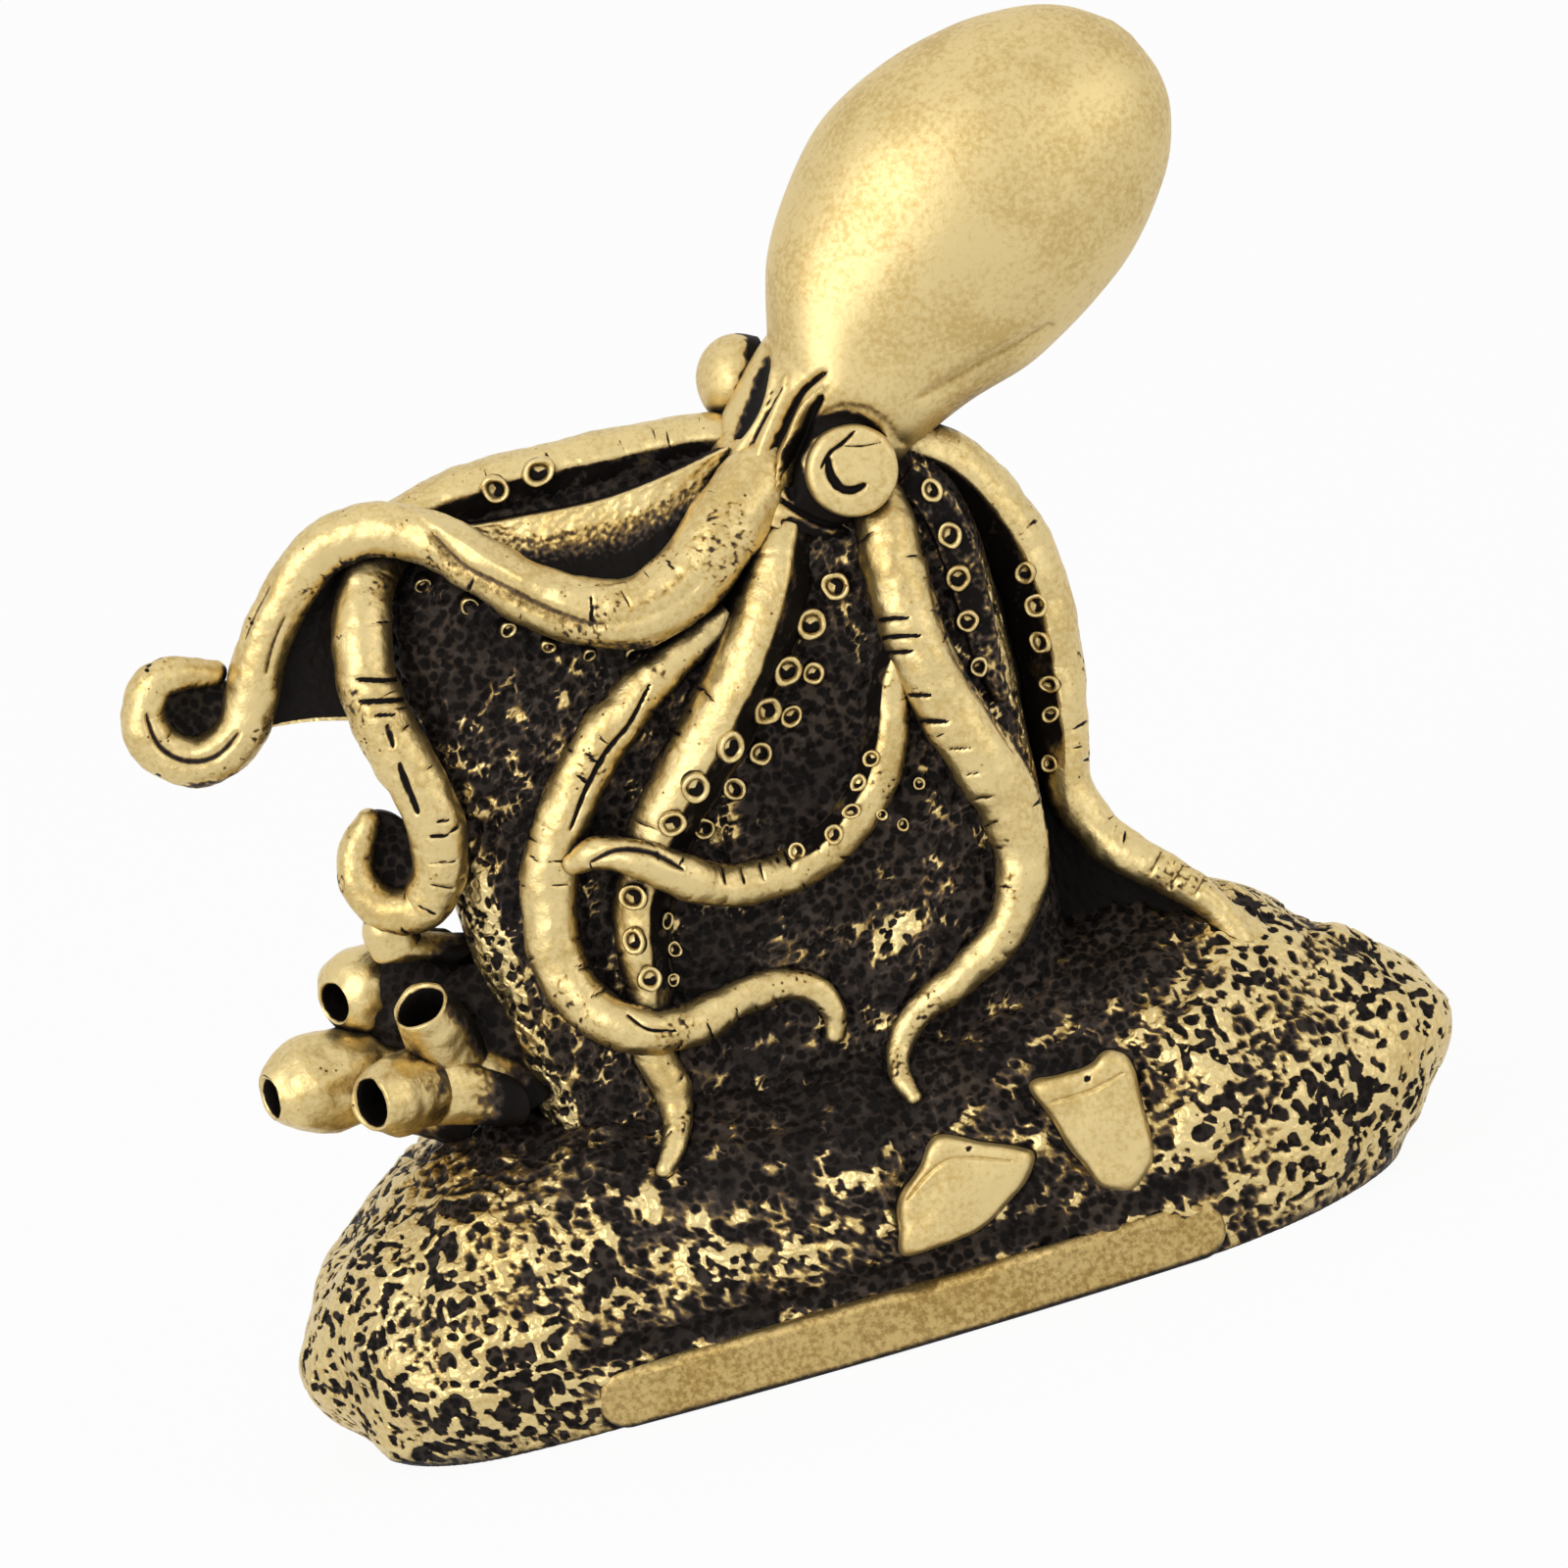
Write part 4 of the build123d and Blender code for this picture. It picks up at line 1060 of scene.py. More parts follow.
# Cuts on the arms: width, depth, darkness and line; on the long left arm some paint a reflection and a
# highlight. Many thin ones are of two kinds
fine_cut = (0.06, 0.08, 0.7)
short_cut = (0.07, 0.10, 0.8)
arm_cuts = {
    "front_right": [
        (0.10, 0.14, 1.0, [(6.0, 25.40), (6.6, 25.32), (7.3, 25.15)]),
        (0.10, 0.14, 1.0, [(6.0, 24.72), (6.7, 24.60), (7.5, 24.40)]),
        (0.09, 0.12, 1.0, [(6.1, 24.12), (7.1, 23.90)]),
        (0.09, 0.12, 1.0, [(6.4, 22.38), (7.3, 22.10)]),
        (0.09, 0.12, 1.0, [(6.5, 21.32), (7.6, 21.00)]),
        (*fine_cut, [(7.3, 20.0), (8.2, 19.8)]),
        (*fine_cut, [(7.6, 18.9), (8.3, 18.8)]),
        (*fine_cut, [(7.8, 17.9), (8.5, 17.8)]),
        (*fine_cut, [(7.7, 16.8), (8.4, 16.9)]),
        (0.14, 0.08, 0.45, [(8.6, 27.0), (8.4, 25.0), (8.6, 23.0), (9.2, 21.0), (9.7, 19.0)]),
    ],
    "over_top": pixel_cuts([
        (0.11, 0.15, 1.0, [(367, 695), (390, 696), (415, 694)]),
        (0.12, 0.15, 1.0, [(370, 718), (395, 717), (421, 714)]),
        (0.08, 0.12, 0.9, [(383, 732), (408, 731)]),
        (0.17, 0.12, 0.75, [(398, 740), (401, 752), (404, 764)]),
        (0.18, 0.14, 0.85, [(410, 780), (418, 805), (429, 832)]),
        (0.08, 0.12, 0.9, [(447, 840), (461, 838)]),
        (0.08, 0.12, 0.9, [(439, 855), (460, 854)]),
        (*fine_cut, [(440, 882), (468, 880)]),
        (*fine_cut, [(441, 904), (466, 908)]),
        (*fine_cut, [(428, 925), (446, 935)]),
    ]),
    "side_right": [
        (0.13, 0.12, 0.5, [(13.3, 13.3), (13.8, 13.8), (14.3, 14.3)]),
        (0.13, 0.12, 0.5, [(13.9, 12.6), (14.9, 13.5)]),
        (0.12, 0.12, 0.5, [(14.7, 12.0), (15.5, 12.8)]),
        (0.10, 0.05, 0.3, [(12.2, 16.2), (13.4, 14.6), (14.6, 12.9), (15.6, 11.4)]),
    ],
    "long_left": pixel_cuts([
        # The groove's dark and the wide band of depth zero along it paint a dark reflection under the top
        # edge, and the brightened ridge paints a highlight along the crest
        (0.30, 0.22, 0.50, [(443, 545), (475, 581), (520, 603), (556, 622), (596, 638), (618, 641)]),
        (0.55, 0.0, 0.43, [(440, 548), (475, 588), (520, 611), (556, 630), (600, 644)]),
        (0.42, 0.0, 0.41, [(640, 628), (680, 606), (706, 580)]),
        (0.16, -0.10, -0.9, [(430, 528), (470, 553), (512, 581), (556, 601), (604, 607), (640, 600)]),
        (0.20, 0.10, 0.35, [(618, 641), (652, 634), (692, 618), (722, 590)]),
        (*short_cut, [(605, 612), (606, 628), (605, 646)]),
        (0.07, 0.08, 0.6, [(636, 606), (645, 622)]),
        (0.22, 0.20, 0.60, [(153, 730), (163, 758), (181, 774), (204, 778), (226, 771), (246, 749)]),
        (0.10, 0.08, 0.5, [(252, 655), (262, 630), (278, 600)]),
        (0.12, 0.10, 0.55, [(275, 690), (282, 660), (296, 628)]),
    ]),
    "front_left": pixel_cuts([
        (0.12, 0.16, 0.95, [(664, 701), (644, 741), (620, 770), (598, 812), (584, 850)]),
        (*short_cut, [(612, 752), (622, 762)]),
        (*short_cut, [(600, 770), (611, 780)]),
        (*short_cut, [(588, 790), (600, 800)]),
        (0.08, 0.12, 0.85, [(640, 1034), (662, 1050), (690, 1052)]),
        (*fine_cut, [(585, 960), (604, 955)]),
        (*fine_cut, [(592, 990), (612, 984)]),
        (*fine_cut, [(604, 1018), (622, 1008)]),
        (*fine_cut, [(722, 1040), (728, 1060)]),
        (*fine_cut, [(752, 1030), (757, 1050)]),
        (*fine_cut, [(790, 1012), (794, 1030)]),
        (*fine_cut, [(560, 880), (582, 880)]),
        (*fine_cut, [(562, 905), (584, 903)]),
    ]),
    "hooked": pixel_cuts([
        (0.20, 0.14, 0.62, [(604, 882), (632, 867), (668, 870), (700, 888)]),
        (*short_cut, [(738, 884), (742, 904)]),
        (*short_cut, [(756, 884), (761, 904)]),
        (*short_cut, [(775, 880), (780, 900)]),
        (*short_cut, [(800, 868), (808, 888)]),
        (*short_cut, [(826, 852), (836, 868)]),
    ]),
    "front_centre": pixel_cuts([
        (*short_cut, [(704, 700), (718, 706)]),
        (*short_cut, [(692, 722), (706, 728)]),
        (*short_cut, [(680, 744), (694, 750)]),
        (0.30, 0.10, 0.42, [(760, 560), (742, 620), (716, 680), (688, 730)]),
        (0.08, 0.10, 0.8, [(735, 1140), (752, 1142)]),
        (*short_cut, [(728, 1110), (744, 1116)]),
    ]),
}
# Arms that lie on the rock have dark flanks: patina where they meet the rock, and painted shade on the sides
# turned from the viewer. The others get painted shade below and behind
seated_arms = ("front_right", "hooked", "front_left", "front_centre", "rock_edge")
flank_shade_edge = (0.72, 0.10)
below_shade_edge, below_shade_share = (0.15, 0.90), 0.9
behind_shade_edge, behind_shade_share = (-0.2, 0.6), 0.6
# Noise on the arms, as size, height and seed
arm_texture = ((1.3, 0.10, 11), (0.5, 0.04, 12))
arm_uneven_size, arm_speckle_size, arm_patch_size = 0.8, 0.17, 2.2
arm_patch_edge = (0.0, 0.5)
# Patina on flat sides, patina with painted shade on flanks, patina in patches, and of an arm that is dark all
# over where it isn't bright. Each has its mean, and how much it is uneven and speckled
flat_patina = (0.66, 0.30, 0.15)
flank_patina_and_shade = (0.52, 0.30, 0.25)
patch_patina = (0.34, 0.0, 0.34)
no_patina = (0.0, 0.0, 0.0)
arm_shades = {"rock_edge": (0.52, 0.0, 0.20)}
# Short creases on the flanks: where the first and the last lie, the gaps between them, their turns from
# the arm's front and half lengths in degrees, half widths, greatest depth, how shallow they get and how
# many of them do, their slant and how far along the arm one reaches
crease_start, crease_end = 1.2, 0.6
crease_gaps = (0.15, 1.3)
crease_turns = (38, 72)
crease_half_lengths = (14, 34)
crease_half_widths = (0.04, 0.08)
crease_depth = 0.09
crease_shares, crease_power = (0.25, 1.0), 1.5
crease_slant = 0.35
crease_reach = 1.0


def crease(grid, out, patina, turns, chance):
    """Presses short creases across an arm, at uneven places on its two flanks."""
    centre = grid.mean(axis=1)
    lengths = np.concatenate([[0], np.cumsum(np.linalg.norm(np.diff(centre, axis=0), axis=1))])
    grid, patina = grid.copy(), patina.copy()
    place = crease_start
    while place < lengths[-1] - crease_end:
        side = chance.choice([-1, 1])
        middle = side * radians(chance.uniform(*crease_turns))
        half_length = radians(chance.uniform(*crease_half_lengths))
        half_width = chance.uniform(*crease_half_widths)
        strength = chance.uniform(*crease_shares) ** crease_power
        slant = chance.uniform(-crease_slant, crease_slant)
        near = np.abs(lengths - place) < crease_reach
        gap = (lengths[near][:, None] - place - slant * (turns[None, :] - middle)) / half_width
        cut = strength * np.exp(-(gap**2)) * np.exp(-(((turns[None, :] - middle) / half_length) ** 2))
        grid[near] -= out[near] * (crease_depth * cut)[..., None]
        patina[near] = np.maximum(patina[near], cut)
        place += chance.uniform(*crease_gaps)
    return grid, patina


def make_arm(name, route, chance):
    """One arm with its flat sucker side, creases and uneven surface. Its flanks keep some patina and get
    painted shade where they turn from the viewer, and free arms get painted shade underneath and behind.
    """
    grid, turns, flat = arm_grid(route, arm_faces.get(name))
    out = tube_normals(grid)
    grid = roughen(grid, out, arm_texture)
    uneven = waves(grid, arm_uneven_size, 13)
    speckle = waves(grid, arm_speckle_size, 14)

    def mixed(values):
        mean, uneven_part, speckle_part = values
        return mean + uneven_part * uneven + speckle_part * speckle

    # Painted shade on the flanks that turn from the viewer, and under and behind the free arms
    if name in seated_arms:
        flank_shade = smooth_step(*flank_shade_edge, -out[..., 1])
    else:
        flank_shade = below_shade_share * smooth_step(*below_shade_edge, -out[..., 2])
        flank_shade = flank_shade + behind_shade_share * smooth_step(*behind_shade_edge, out[..., 1])
    patches = smooth_step(*arm_patch_edge, waves(grid, arm_patch_size, 15)) * mixed(patch_patina)
    patina = np.maximum(flat * mixed(flat_patina), flank_shade * mixed(flank_patina_and_shade))
    patina = np.maximum(patina, np.maximum(patches, mixed(arm_shades.get(name, no_patina))))
    grid, patina = crease(grid, out, patina, turns, chance)
    grid, patina = carve(grid, out, patina, arm_cuts.get(name, []))
    return make_tube(f"cast_arm_{name}", grid, patina, antique, "antique_brass", f"arm_{name}")


def lathe_grid(profile, centre, way, columns):
    """Rings of a profile of radius and height, turned about a way through a centre."""
    way = Vector(way).normalized()
    across = way.orthogonal().normalized()
    over = way.cross(across)
    turns = np.linspace(-pi, pi, columns, endpoint=False)
    around = np.outer(np.cos(turns), across) + np.outer(np.sin(turns), over)
    radius, height = np.asarray(profile).T[:, :, None, None]
    return np.array(centre) + np.array(way) * height + radius * around


sucker_radius = 0.6
# A sucker from its seat over its rim into its pit: radius and height as shares of its radius
sucker_profile_shares = [
    (0.94, -0.90), (0.98, 0.10), (1.01, 0.36), (0.98, 0.56), (0.90, 0.68), (0.79, 0.71), (0.69, 0.66),
    (0.60, 0.56), (0.52, 0.40), (0.44, 0.30), (0.32, 0.26), (0.18, 0.25), (0.08, 0.25),
]
sucker_patina = [1.0, 0.9, 0.35, 0.0, 0.0, 0.0, 0.0, 0.15, 0.7, 1.0, 1.0, 1.0, 1.0]
sucker_pit_start = 8
sucker_places = {
    "front_centre": [
        (5.0, 27.1, 1.0), (3.6, 26.0, 1.08), (2.25, 24.6, 1.08), (1.1, 23.45, 1.05), (-0.6, 22.5, 1.05),
        (-2.2, 21.4, 1.0), (-3.4, 20.3, 0.95), (-5.6, 18.0, 0.95), (-6.0, 16.4, 0.9), (-5.9, 14.9, 0.8),
        (3.3, 24.2, 0.75), (2.0, 22.9, 0.78), (0.5, 21.9, 0.82), (-0.85, 20.85, 0.82), (-2.4, 19.8, 0.78),
        (-4.7, 16.9, 0.6), (-4.75, 15.7, 0.6), (-5.15, 14.6, 0.5),
    ],
    "long_left": [
        (-10.85, 32.7, 0.62), (-9.9, 31.6, 0.62), (-8.4, 30.4, 0.66), (-7.3, 29.1, 0.60),
        (-6.0, 28.05, 0.55), (-4.6, 27.35, 0.55), (-3.0, 26.9, 0.62),
    ],
    "over_top": [(-6.25, 34.25, 1.0), (-4.55, 34.4, 1.12)],
    "hooked": [
        (0.8, 17.9, 0.6), (2.3, 18.15, 0.65), (3.2, 18.8, 0.65), (3.8, 19.7, 0.65), (4.5, 20.5, 0.6),
        (4.2, 18.4, 0.45), (4.9, 17.75, 0.45), (5.9, 19.1, 0.45),
    ],
    "rock_edge": [
        (9.45, 29.5, 0.8), (9.65, 27.75, 0.9), (9.5, 26.15, 0.85), (9.35, 24.45, 0.8), (9.3, 22.7, 0.7),
    ],
    "side_right": [
        (12.1, 25.6, 0.75), (12.1, 24.3, 0.8), (11.9, 22.9, 0.8), (11.8, 21.3, 0.75), (11.5, 20.2, 0.65),
        (10.9, 18.4, 0.6),
    ],
}
# Suckers: columns of their rings, how far round a sucker's place the surface is felt, how much of its
# direction comes from that, the way that it leans to the viewer and how much it is tilted at random
sucker_columns = 32
sucker_feel = 0.35
sucker_surface_share = 0.65
sucker_lean = Vector((0, -0.55, 0.1))
sucker_tilt = 0.22
# How much a sucker is squashed, and how worn its rim and how lopsided the patina in its pit is
sucker_squash = (0.02, 0.26)
sucker_texture = (0.45, 0.05, 21)
sucker_wear = (0.3, 0.35, 22)
crescent_mean, crescent_change = 0.75, 0.65
sucker_end_patina = [0.9, 0.4]
# The way that the suckers under an arm's edge lean
sucker_tilts = {"long_left": Vector((0.15, 0.1, -0.85))}
# A place in front of everything, from which the viewer looks
viewer_y = -40.0


def surface_finder(pieces):
    """A function that finds where the viewer's line through u and v first meets some pieces, and the way
    out."""
    trees = []
    for piece in pieces:
        mesh = piece.data
        points = [v.co / MM for v in mesh.vertices]
        trees.append(BVHTree.FromPolygons(points, [tuple(p.vertices) for p in mesh.polygons]))
    ray = Vector((0, rise_z, -rise_y))

    def find(u, v):
        start = Vector((u, viewer_y, (v - rise_0 - rise_y * viewer_y) / rise_z))
        hits = [tree.ray_cast(start, ray) for tree in trees]
        hits = [(distance, place, normal) for place, normal, _, distance in hits if place is not None]
        return min(hits, key=lambda hit: hit[0])[1:] if hits else None

    return find


def make_sucker(place, normal, reach, chance):
    """One ring sucker, squashed one way: its points, faces and patina."""
    profile = np.asarray(sucker_profile_shares) * reach
    grid = lathe_grid(profile, place, normal, sucker_columns)
    squash = chance.uniform(*sucker_squash)
    turn = chance.uniform(0, pi)
    way = unit(np.cross(np.array(normal), [cos(turn), 0, sin(turn)]))
    grid = grid - ((grid - np.array(place)) @ way)[..., None] * way * squash
    size, rise, seed = sucker_texture
    grid = grid + waves(grid, size, seed)[..., None] * rise
    points, faces = tube_mesh(grid)
    if signed_volume(points, faces) < 0:
        faces = [tuple(reversed(face)) for face in faces]
    worn = np.array(sucker_patina)[:, None] + mottling(grid, [sucker_wear])
    turns = np.linspace(-pi, pi, sucker_columns, endpoint=False)
    worn[sucker_pit_start:] *= crescent_mean + crescent_change * np.cos(turns - turn)
    return points, faces, list(np.clip(worn, 0, 1).reshape(-1)) + sucker_end_patina


def make_suckers(name, find, chance):
    """Ring suckers set on the arm where they show, each a little different."""
    points, faces, patina = [], [], []
    feel = sucker_feel
    for u, v, size in sucker_places[name]:
        hits = [find(u + du, v + dv) for du, dv in ((0, 0), (feel, 0), (-feel, 0), (0, feel), (0, -feel))]
        hits = [hit for hit in hits if hit]
        if not hits:
            continue
        normal = (sum((hit[1] for hit in hits), Vector()) / len(hits)).normalized()
        tilt = Vector(chance.uniform(-sucker_tilt, sucker_tilt, 3))
        normal = (normal * sucker_surface_share + sucker_lean + sucker_tilts.get(name, tilt)).normalized()
        more_points, more_faces, more_patina = make_sucker(hits[0][0], normal, sucker_radius * size, chance)
        faces += [tuple(k + len(points) for k in face) for face in more_faces]
        points += more_points.tolist()
        patina += more_patina
    node = f"suckers_{name}"
    return make_piece(f"cast_{node}", points, faces, patina, antique, "antique_brass", node)


# Body of the animal
flow_share = 0.42
body_columns = 220
mantle_step, head_step = 0.14, 0.07
body_texture = ((4.0, 0.06, 31), (1.2, 0.012, 32))
# Rings by which the mantle and the head are tucked under each other, and how fast these shrink
tuck = 6
tuck_shrink = 0.003
# Painted shade on the underside: how far it looks down, the heights between which it comes in and how dark it
# is
belly_shade_edge = (-0.2, 0.9)
belly_shade_heights = (36.5, 33.0)
belly_shade = 0.42
# Two furrows at the mantle's foot: width, depth, darkness and line
mantle_cuts = [
    (0.30, 0.16, 0.40, [(9.9, 32.9), (11.0, 33.1), (12.3, 33.4), (13.9, 33.75), (15.6, 34.2)]),
    (0.16, 0.06, 0.30, [(12.0, 32.9), (13.5, 33.3), (15.4, 34.0), (17.2, 35.0)]),
]
# Ridges and furrows between the two eyes, the dark socket and the seam below the right eye, painted shade
# over the right eye, and a dark hollow beside the left eye
head_cuts = pixel_cuts([
    (0.26, -0.22, -0.8, [(790, 380), (778, 420), (762, 452), (748, 476)]),
    (0.22, -0.20, -0.8, [(806, 385), (792, 425), (778, 462), (772, 486)]),
    (0.11, -0.26, -0.9, [(842, 399), (820, 421), (808, 447), (798, 472), (793, 501)]),
    (0.09, 0.16, 0.75, [(800, 400), (788, 418), (777, 436), (767, 458), (761, 474)]),
    (0.06, 0.10, 0.60, [(789, 400), (781, 424), (773, 441), (765, 456)]),
    (0.17, 0.42, 1.0, [(842, 384), (820, 400), (808, 419), (797, 443), (788, 463), (784, 484), (780, 500)]),
    (0.21, 0.46, 1.0, [(838, 408), (826, 428), (816, 454), (808, 476), (804, 500)]),
    (0.44, 0.34, 0.95, [(808, 512), (806, 484), (815, 458), (832, 442), (856, 434), (880, 438),
        (900, 450)]),
    # These two paint a soft grey shade over the right eye
    (0.40, 0.10, 0.45, [(832, 430), (856, 418), (884, 420), (906, 434), (922, 456)]),
    (0.85, 0.0, 0.41, [(832, 434), (856, 422), (884, 422), (904, 434), (918, 452)]),
    (0.12, 0.30, 1.0, [(752, 489), (787, 508), (819, 528), (841, 538), (866, 541), (896, 536), (914, 533)]),
    (0.50, 0.16, 0.62, [(896, 478), (900, 505), (892, 524)]),
    (0.55, 0.22, 0.95, [(800, 536), (825, 552), (850, 556)]),
    (0.62, 0.0, 0.95, [(806, 460), (811, 492), (826, 518), (848, 532), (884, 538)]),
    (0.55, 0.22, 0.90, [(850, 556), (880, 552), (905, 548)]),
    (0.60, 0.50, 0.80, [(772, 352), (769, 392), (762, 420), (746, 448)]),
    (0.60, 0.20, 0.62, [(748, 360), (742, 395), (734, 425), (728, 450)]),
])
# The dark side of the left eye
left_eye_cuts = pixel_cuts([
    (0.70, 0.12, 1.0, [(772, 372), (768, 404), (756, 436)]),
    (0.40, 0.06, 0.7, [(718, 440), (735, 448), (752, 446)]),
])
# Marks engraved in the right eye
right_eye_cuts = pixel_cuts([
    (0.20, 0.22, 1.0, [(846, 472), (846, 482), (850, 493), (858, 501), (870, 504), (883, 498)]),
    (0.09, 0.14, 0.9, [(838, 482), (847, 466), (860, 456), (872, 444)]),
    (0.05, 0.08, 0.7, [(862, 459), (880, 459), (900, 455)]),
])


def slanted(angle):
    """The direction at an angle above level in degrees, and the direction across it."""
    axis = np.array([cos(radians(angle)), 0, sin(radians(angle))])
    return axis, np.array([-axis[2], 0, axis[0]])


def body_ring(centre, side, half_width, half_depth):
    """An oval ring whose width lies along a side direction."""
    turns = np.linspace(-pi, pi, body_columns, endpoint=False)
    width, depth = np.outer(np.cos(turns), side * half_width), np.outer(np.sin(turns), [0, -half_depth, 0])
    return centre + width + depth


def body_rings():
    """Rings from the mantle's tip to its foot and on down the neck and the head, and how many make the
    mantle."""
    foot_x, foot_y, foot_z = mantle_foot
    axis, side = slanted(mantle_angle)
    table = np.asarray(mantle_shares) * [mantle_length, mantle_width / 2, mantle_width / 2]
    rings = []
    for place, rise, half_width in along(table, even_places(table, mantle_step))[::-1]:
        blend = float(smooth_step(flow_share, 0.0, place / mantle_length))
        half_depth = half_width * mantle_depth / mantle_width * (1 - blend) + head_depth / 2 * blend
        centre = np.array(mantle_foot) + place * axis + rise * side
        centre[1] += (head_y - foot_y) * blend
        rings.append(body_ring(centre, side, half_width, half_depth))
    count = len(rings)
    steps = int(head_drop / head_step)
    _, foot_rise, foot_half_width = table[0]
    centre = np.array([foot_x, head_y, foot_z]) + foot_rise * side
    for share in np.linspace(0, 1, steps + 1)[1:]:
        axis, side = slanted(head_top_angle + (head_foot_angle - head_top_angle) * share)
        centre = centre - axis * head_drop / steps
        half_width = foot_half_width * (1 - share) + head_width / 2 * share
        rings.append(body_ring(centre, side, half_width, head_depth / 2))
    return np.array(rings), count


def make_body():
    """Smooth egg that flows into the neck and the head, with folds of skin beside the eye."""
    grid, count = body_rings()
    out = tube_normals(grid)
    grid = roughen(grid, out, body_texture)
    # Painted shade where the body looks down
    patina = belly_shade * smooth_step(*belly_shade_edge, -out[..., 2])
    patina = patina * smooth_step(*belly_shade_heights, grid[..., 2])
    grid, patina = carve(grid, out, patina, mantle_cuts + head_cuts)
    mantle, head = grid[: count + tuck].copy(), grid[count - 1 - tuck :].copy()
    for k in range(1, tuck + 1):
        for form, ring in ((mantle, count - 1 + k), (head, tuck - k)):
            middle = form[ring].mean(axis=0)
            form[ring] = middle + (form[ring] - middle) * (1 - tuck_shrink * k**2)
    make_tube("cast_mantle", mantle, patina[: count + tuck], polished, "polished_brass", "mantle")
    make_tube("cast_head", head, patina[count - 1 - tuck :], polished, "polished_brass", "head")


eye_radius = 1.75
eye_rows, eye_columns = 90, 120
eye_texture = [(1.1, 0.05, 35)]
eye_mottling = [(0.6, 0.30, 36), (0.2, 0.16, 37)]
# An eye is dark below this height, in shares of its radius
eye_dark_edge = (0.22, -0.40)
# An eye from its seat over its bevel to its middle: radius and height in shares of its radius
flat_eye_shares = [
    (0.97, -0.60), (1.00, -0.10), (1.00, 0.22), (0.985, 0.31), (0.94, 0.37), (0.88, 0.40), (0.78, 0.415),
    (0.60, 0.43), (0.40, 0.44), (0.20, 0.445), (0.03, 0.447),
]
ball_eye_shares = [
    (0.90, -0.45), (0.98, -0.20), (1.00, 0.05), (0.96, 0.30), (0.86, 0.52), (0.70, 0.70), (0.50, 0.83),
    (0.26, 0.91), (0.03, 0.94),
]
# Eyes: form, middle, the way they look and cuts
eyes = {
    "eye_right": (flat_eye_shares, (6.75, -5.15, 32.2), (0.15, -1.0, 0.08), right_eye_cuts),
    "eye_left": (ball_eye_shares, (3.75, 0.45, 35.66), (-0.86, -0.10, 0.20), left_eye_cuts),
}


def make_eye(node, profile_shares, centre, facing, cuts):
    """Round eye. Cuts are engraved in its face."""
    profile = along(np.asarray(profile_shares) * eye_radius, np.linspace(0, 1, eye_rows))
    grid = lathe_grid(profile, centre, facing, eye_columns)
    out = tube_normals(grid)
    grid = roughen(grid, out, eye_texture)
    patina = smooth_step(*eye_dark_edge, profile[:, 1] / eye_radius)[:, None] + mottling(grid, eye_mottling)
    grid, patina = carve(grid, out, patina, cuts)
    return make_tube(f"cast_{node}", grid, patina, polished, "polished_brass", node)


# Sponges: mouth and root, each as shares of half the face width, half the thickness and the rise, the way
# the mouth looks, and as shares of the sponge radius: the mouth's rim, the belly, its place behind the
# mouth and the root
sponge_radius = 1.35
sponge_shares = [
    ((-1.77, -0.24, 0.265), (-1.15, 0.10, 0.170), (-0.78, -0.60, 0.06), (0.66, 1.26, 0.95, 1.15)),
    ((-1.45, -1.02, 0.255), (-1.16, -0.66, 0.020), (-0.22, -0.52, 0.83), (0.80, 0.98, 1.30, 0.80)),
    ((-2.10, -0.40, 0.133), (-1.45, -0.20, 0.010), (-0.92, -0.36, 0.10), (0.68, 1.46, 1.60, 1.35)),
    ((-1.73, -1.20, 0.110), (-1.22, -0.90, 0.020), (-0.74, -0.66, 0.12), (0.78, 1.14, 1.10, 0.72)),
    ((-1.50, -0.56, 0.425), (-1.26, -0.30, 0.300), (-0.16, -0.24, 0.95), (0.56, 0.74, 0.60, 0.66)),
]
# A mouth from its floor to its lip: radius and distance back, both in rim radii, and patina
sponge_mouth_shares = [
    (0.06, 1.70, 1.0), (0.52, 1.62, 1.0), (0.74, 1.20, 1.0), (0.79, 0.60, 1.0), (0.82, 0.22, 0.95),
    (0.88, 0.06, 0.35), (0.96, 0.00, 0.0),
]
# The lip's outer side: radius in rim radii and distance back
sponge_lip_share = 1.04
sponge_lip_back = 0.06
# The body behind it: how much of the rim's, the belly's and the root's radius it has, distance back as a
# share of the belly's, and patina
sponge_body_shares = [
    (0.45, 0.55, 0.00, 0.30, 0.02),
    (0.12, 0.88, 0.00, 0.62, 0.06),
    (0.00, 1.00, 0.00, 1.00, 0.09),
    (0.00, 0.97, 0.03, 1.45, 0.16),
    (0.00, 0.85, 0.15, 1.90, 0.26),
]
sponge_rows, sponge_root_rows, sponge_columns = 110, 40, 90
# How much darker a sponge is at its root, and how late that comes
sponge_root_patina = 0.62
sponge_root_power = 1.5
sponge_swellings = (1.5, 0.16, 40)
sponge_grain = (0.55, 0.05, 45)
sponge_mottling = [(0.8, 0.16, 46), (0.25, 0.12, 47)]
# Painted shade on the side towards the rock and on the underside: how far they look there, share and darkness
sponge_rock_shade_edge = (0.10, 1.10)
sponge_under_shade_edge, sponge_under_shade_share = (0.30, 1.1), 0.6
sponge_side_shade, sponge_side_shade_mottling = 0.66, [(0.35, 0.12, 48)]


def rock_place(share):
    """A point given as shares of half the face width, half the rock's thickness and the rise."""
    return np.array([share[0] * half_face, share[1] * half_rock, base_height + share[2] * rock_rise])


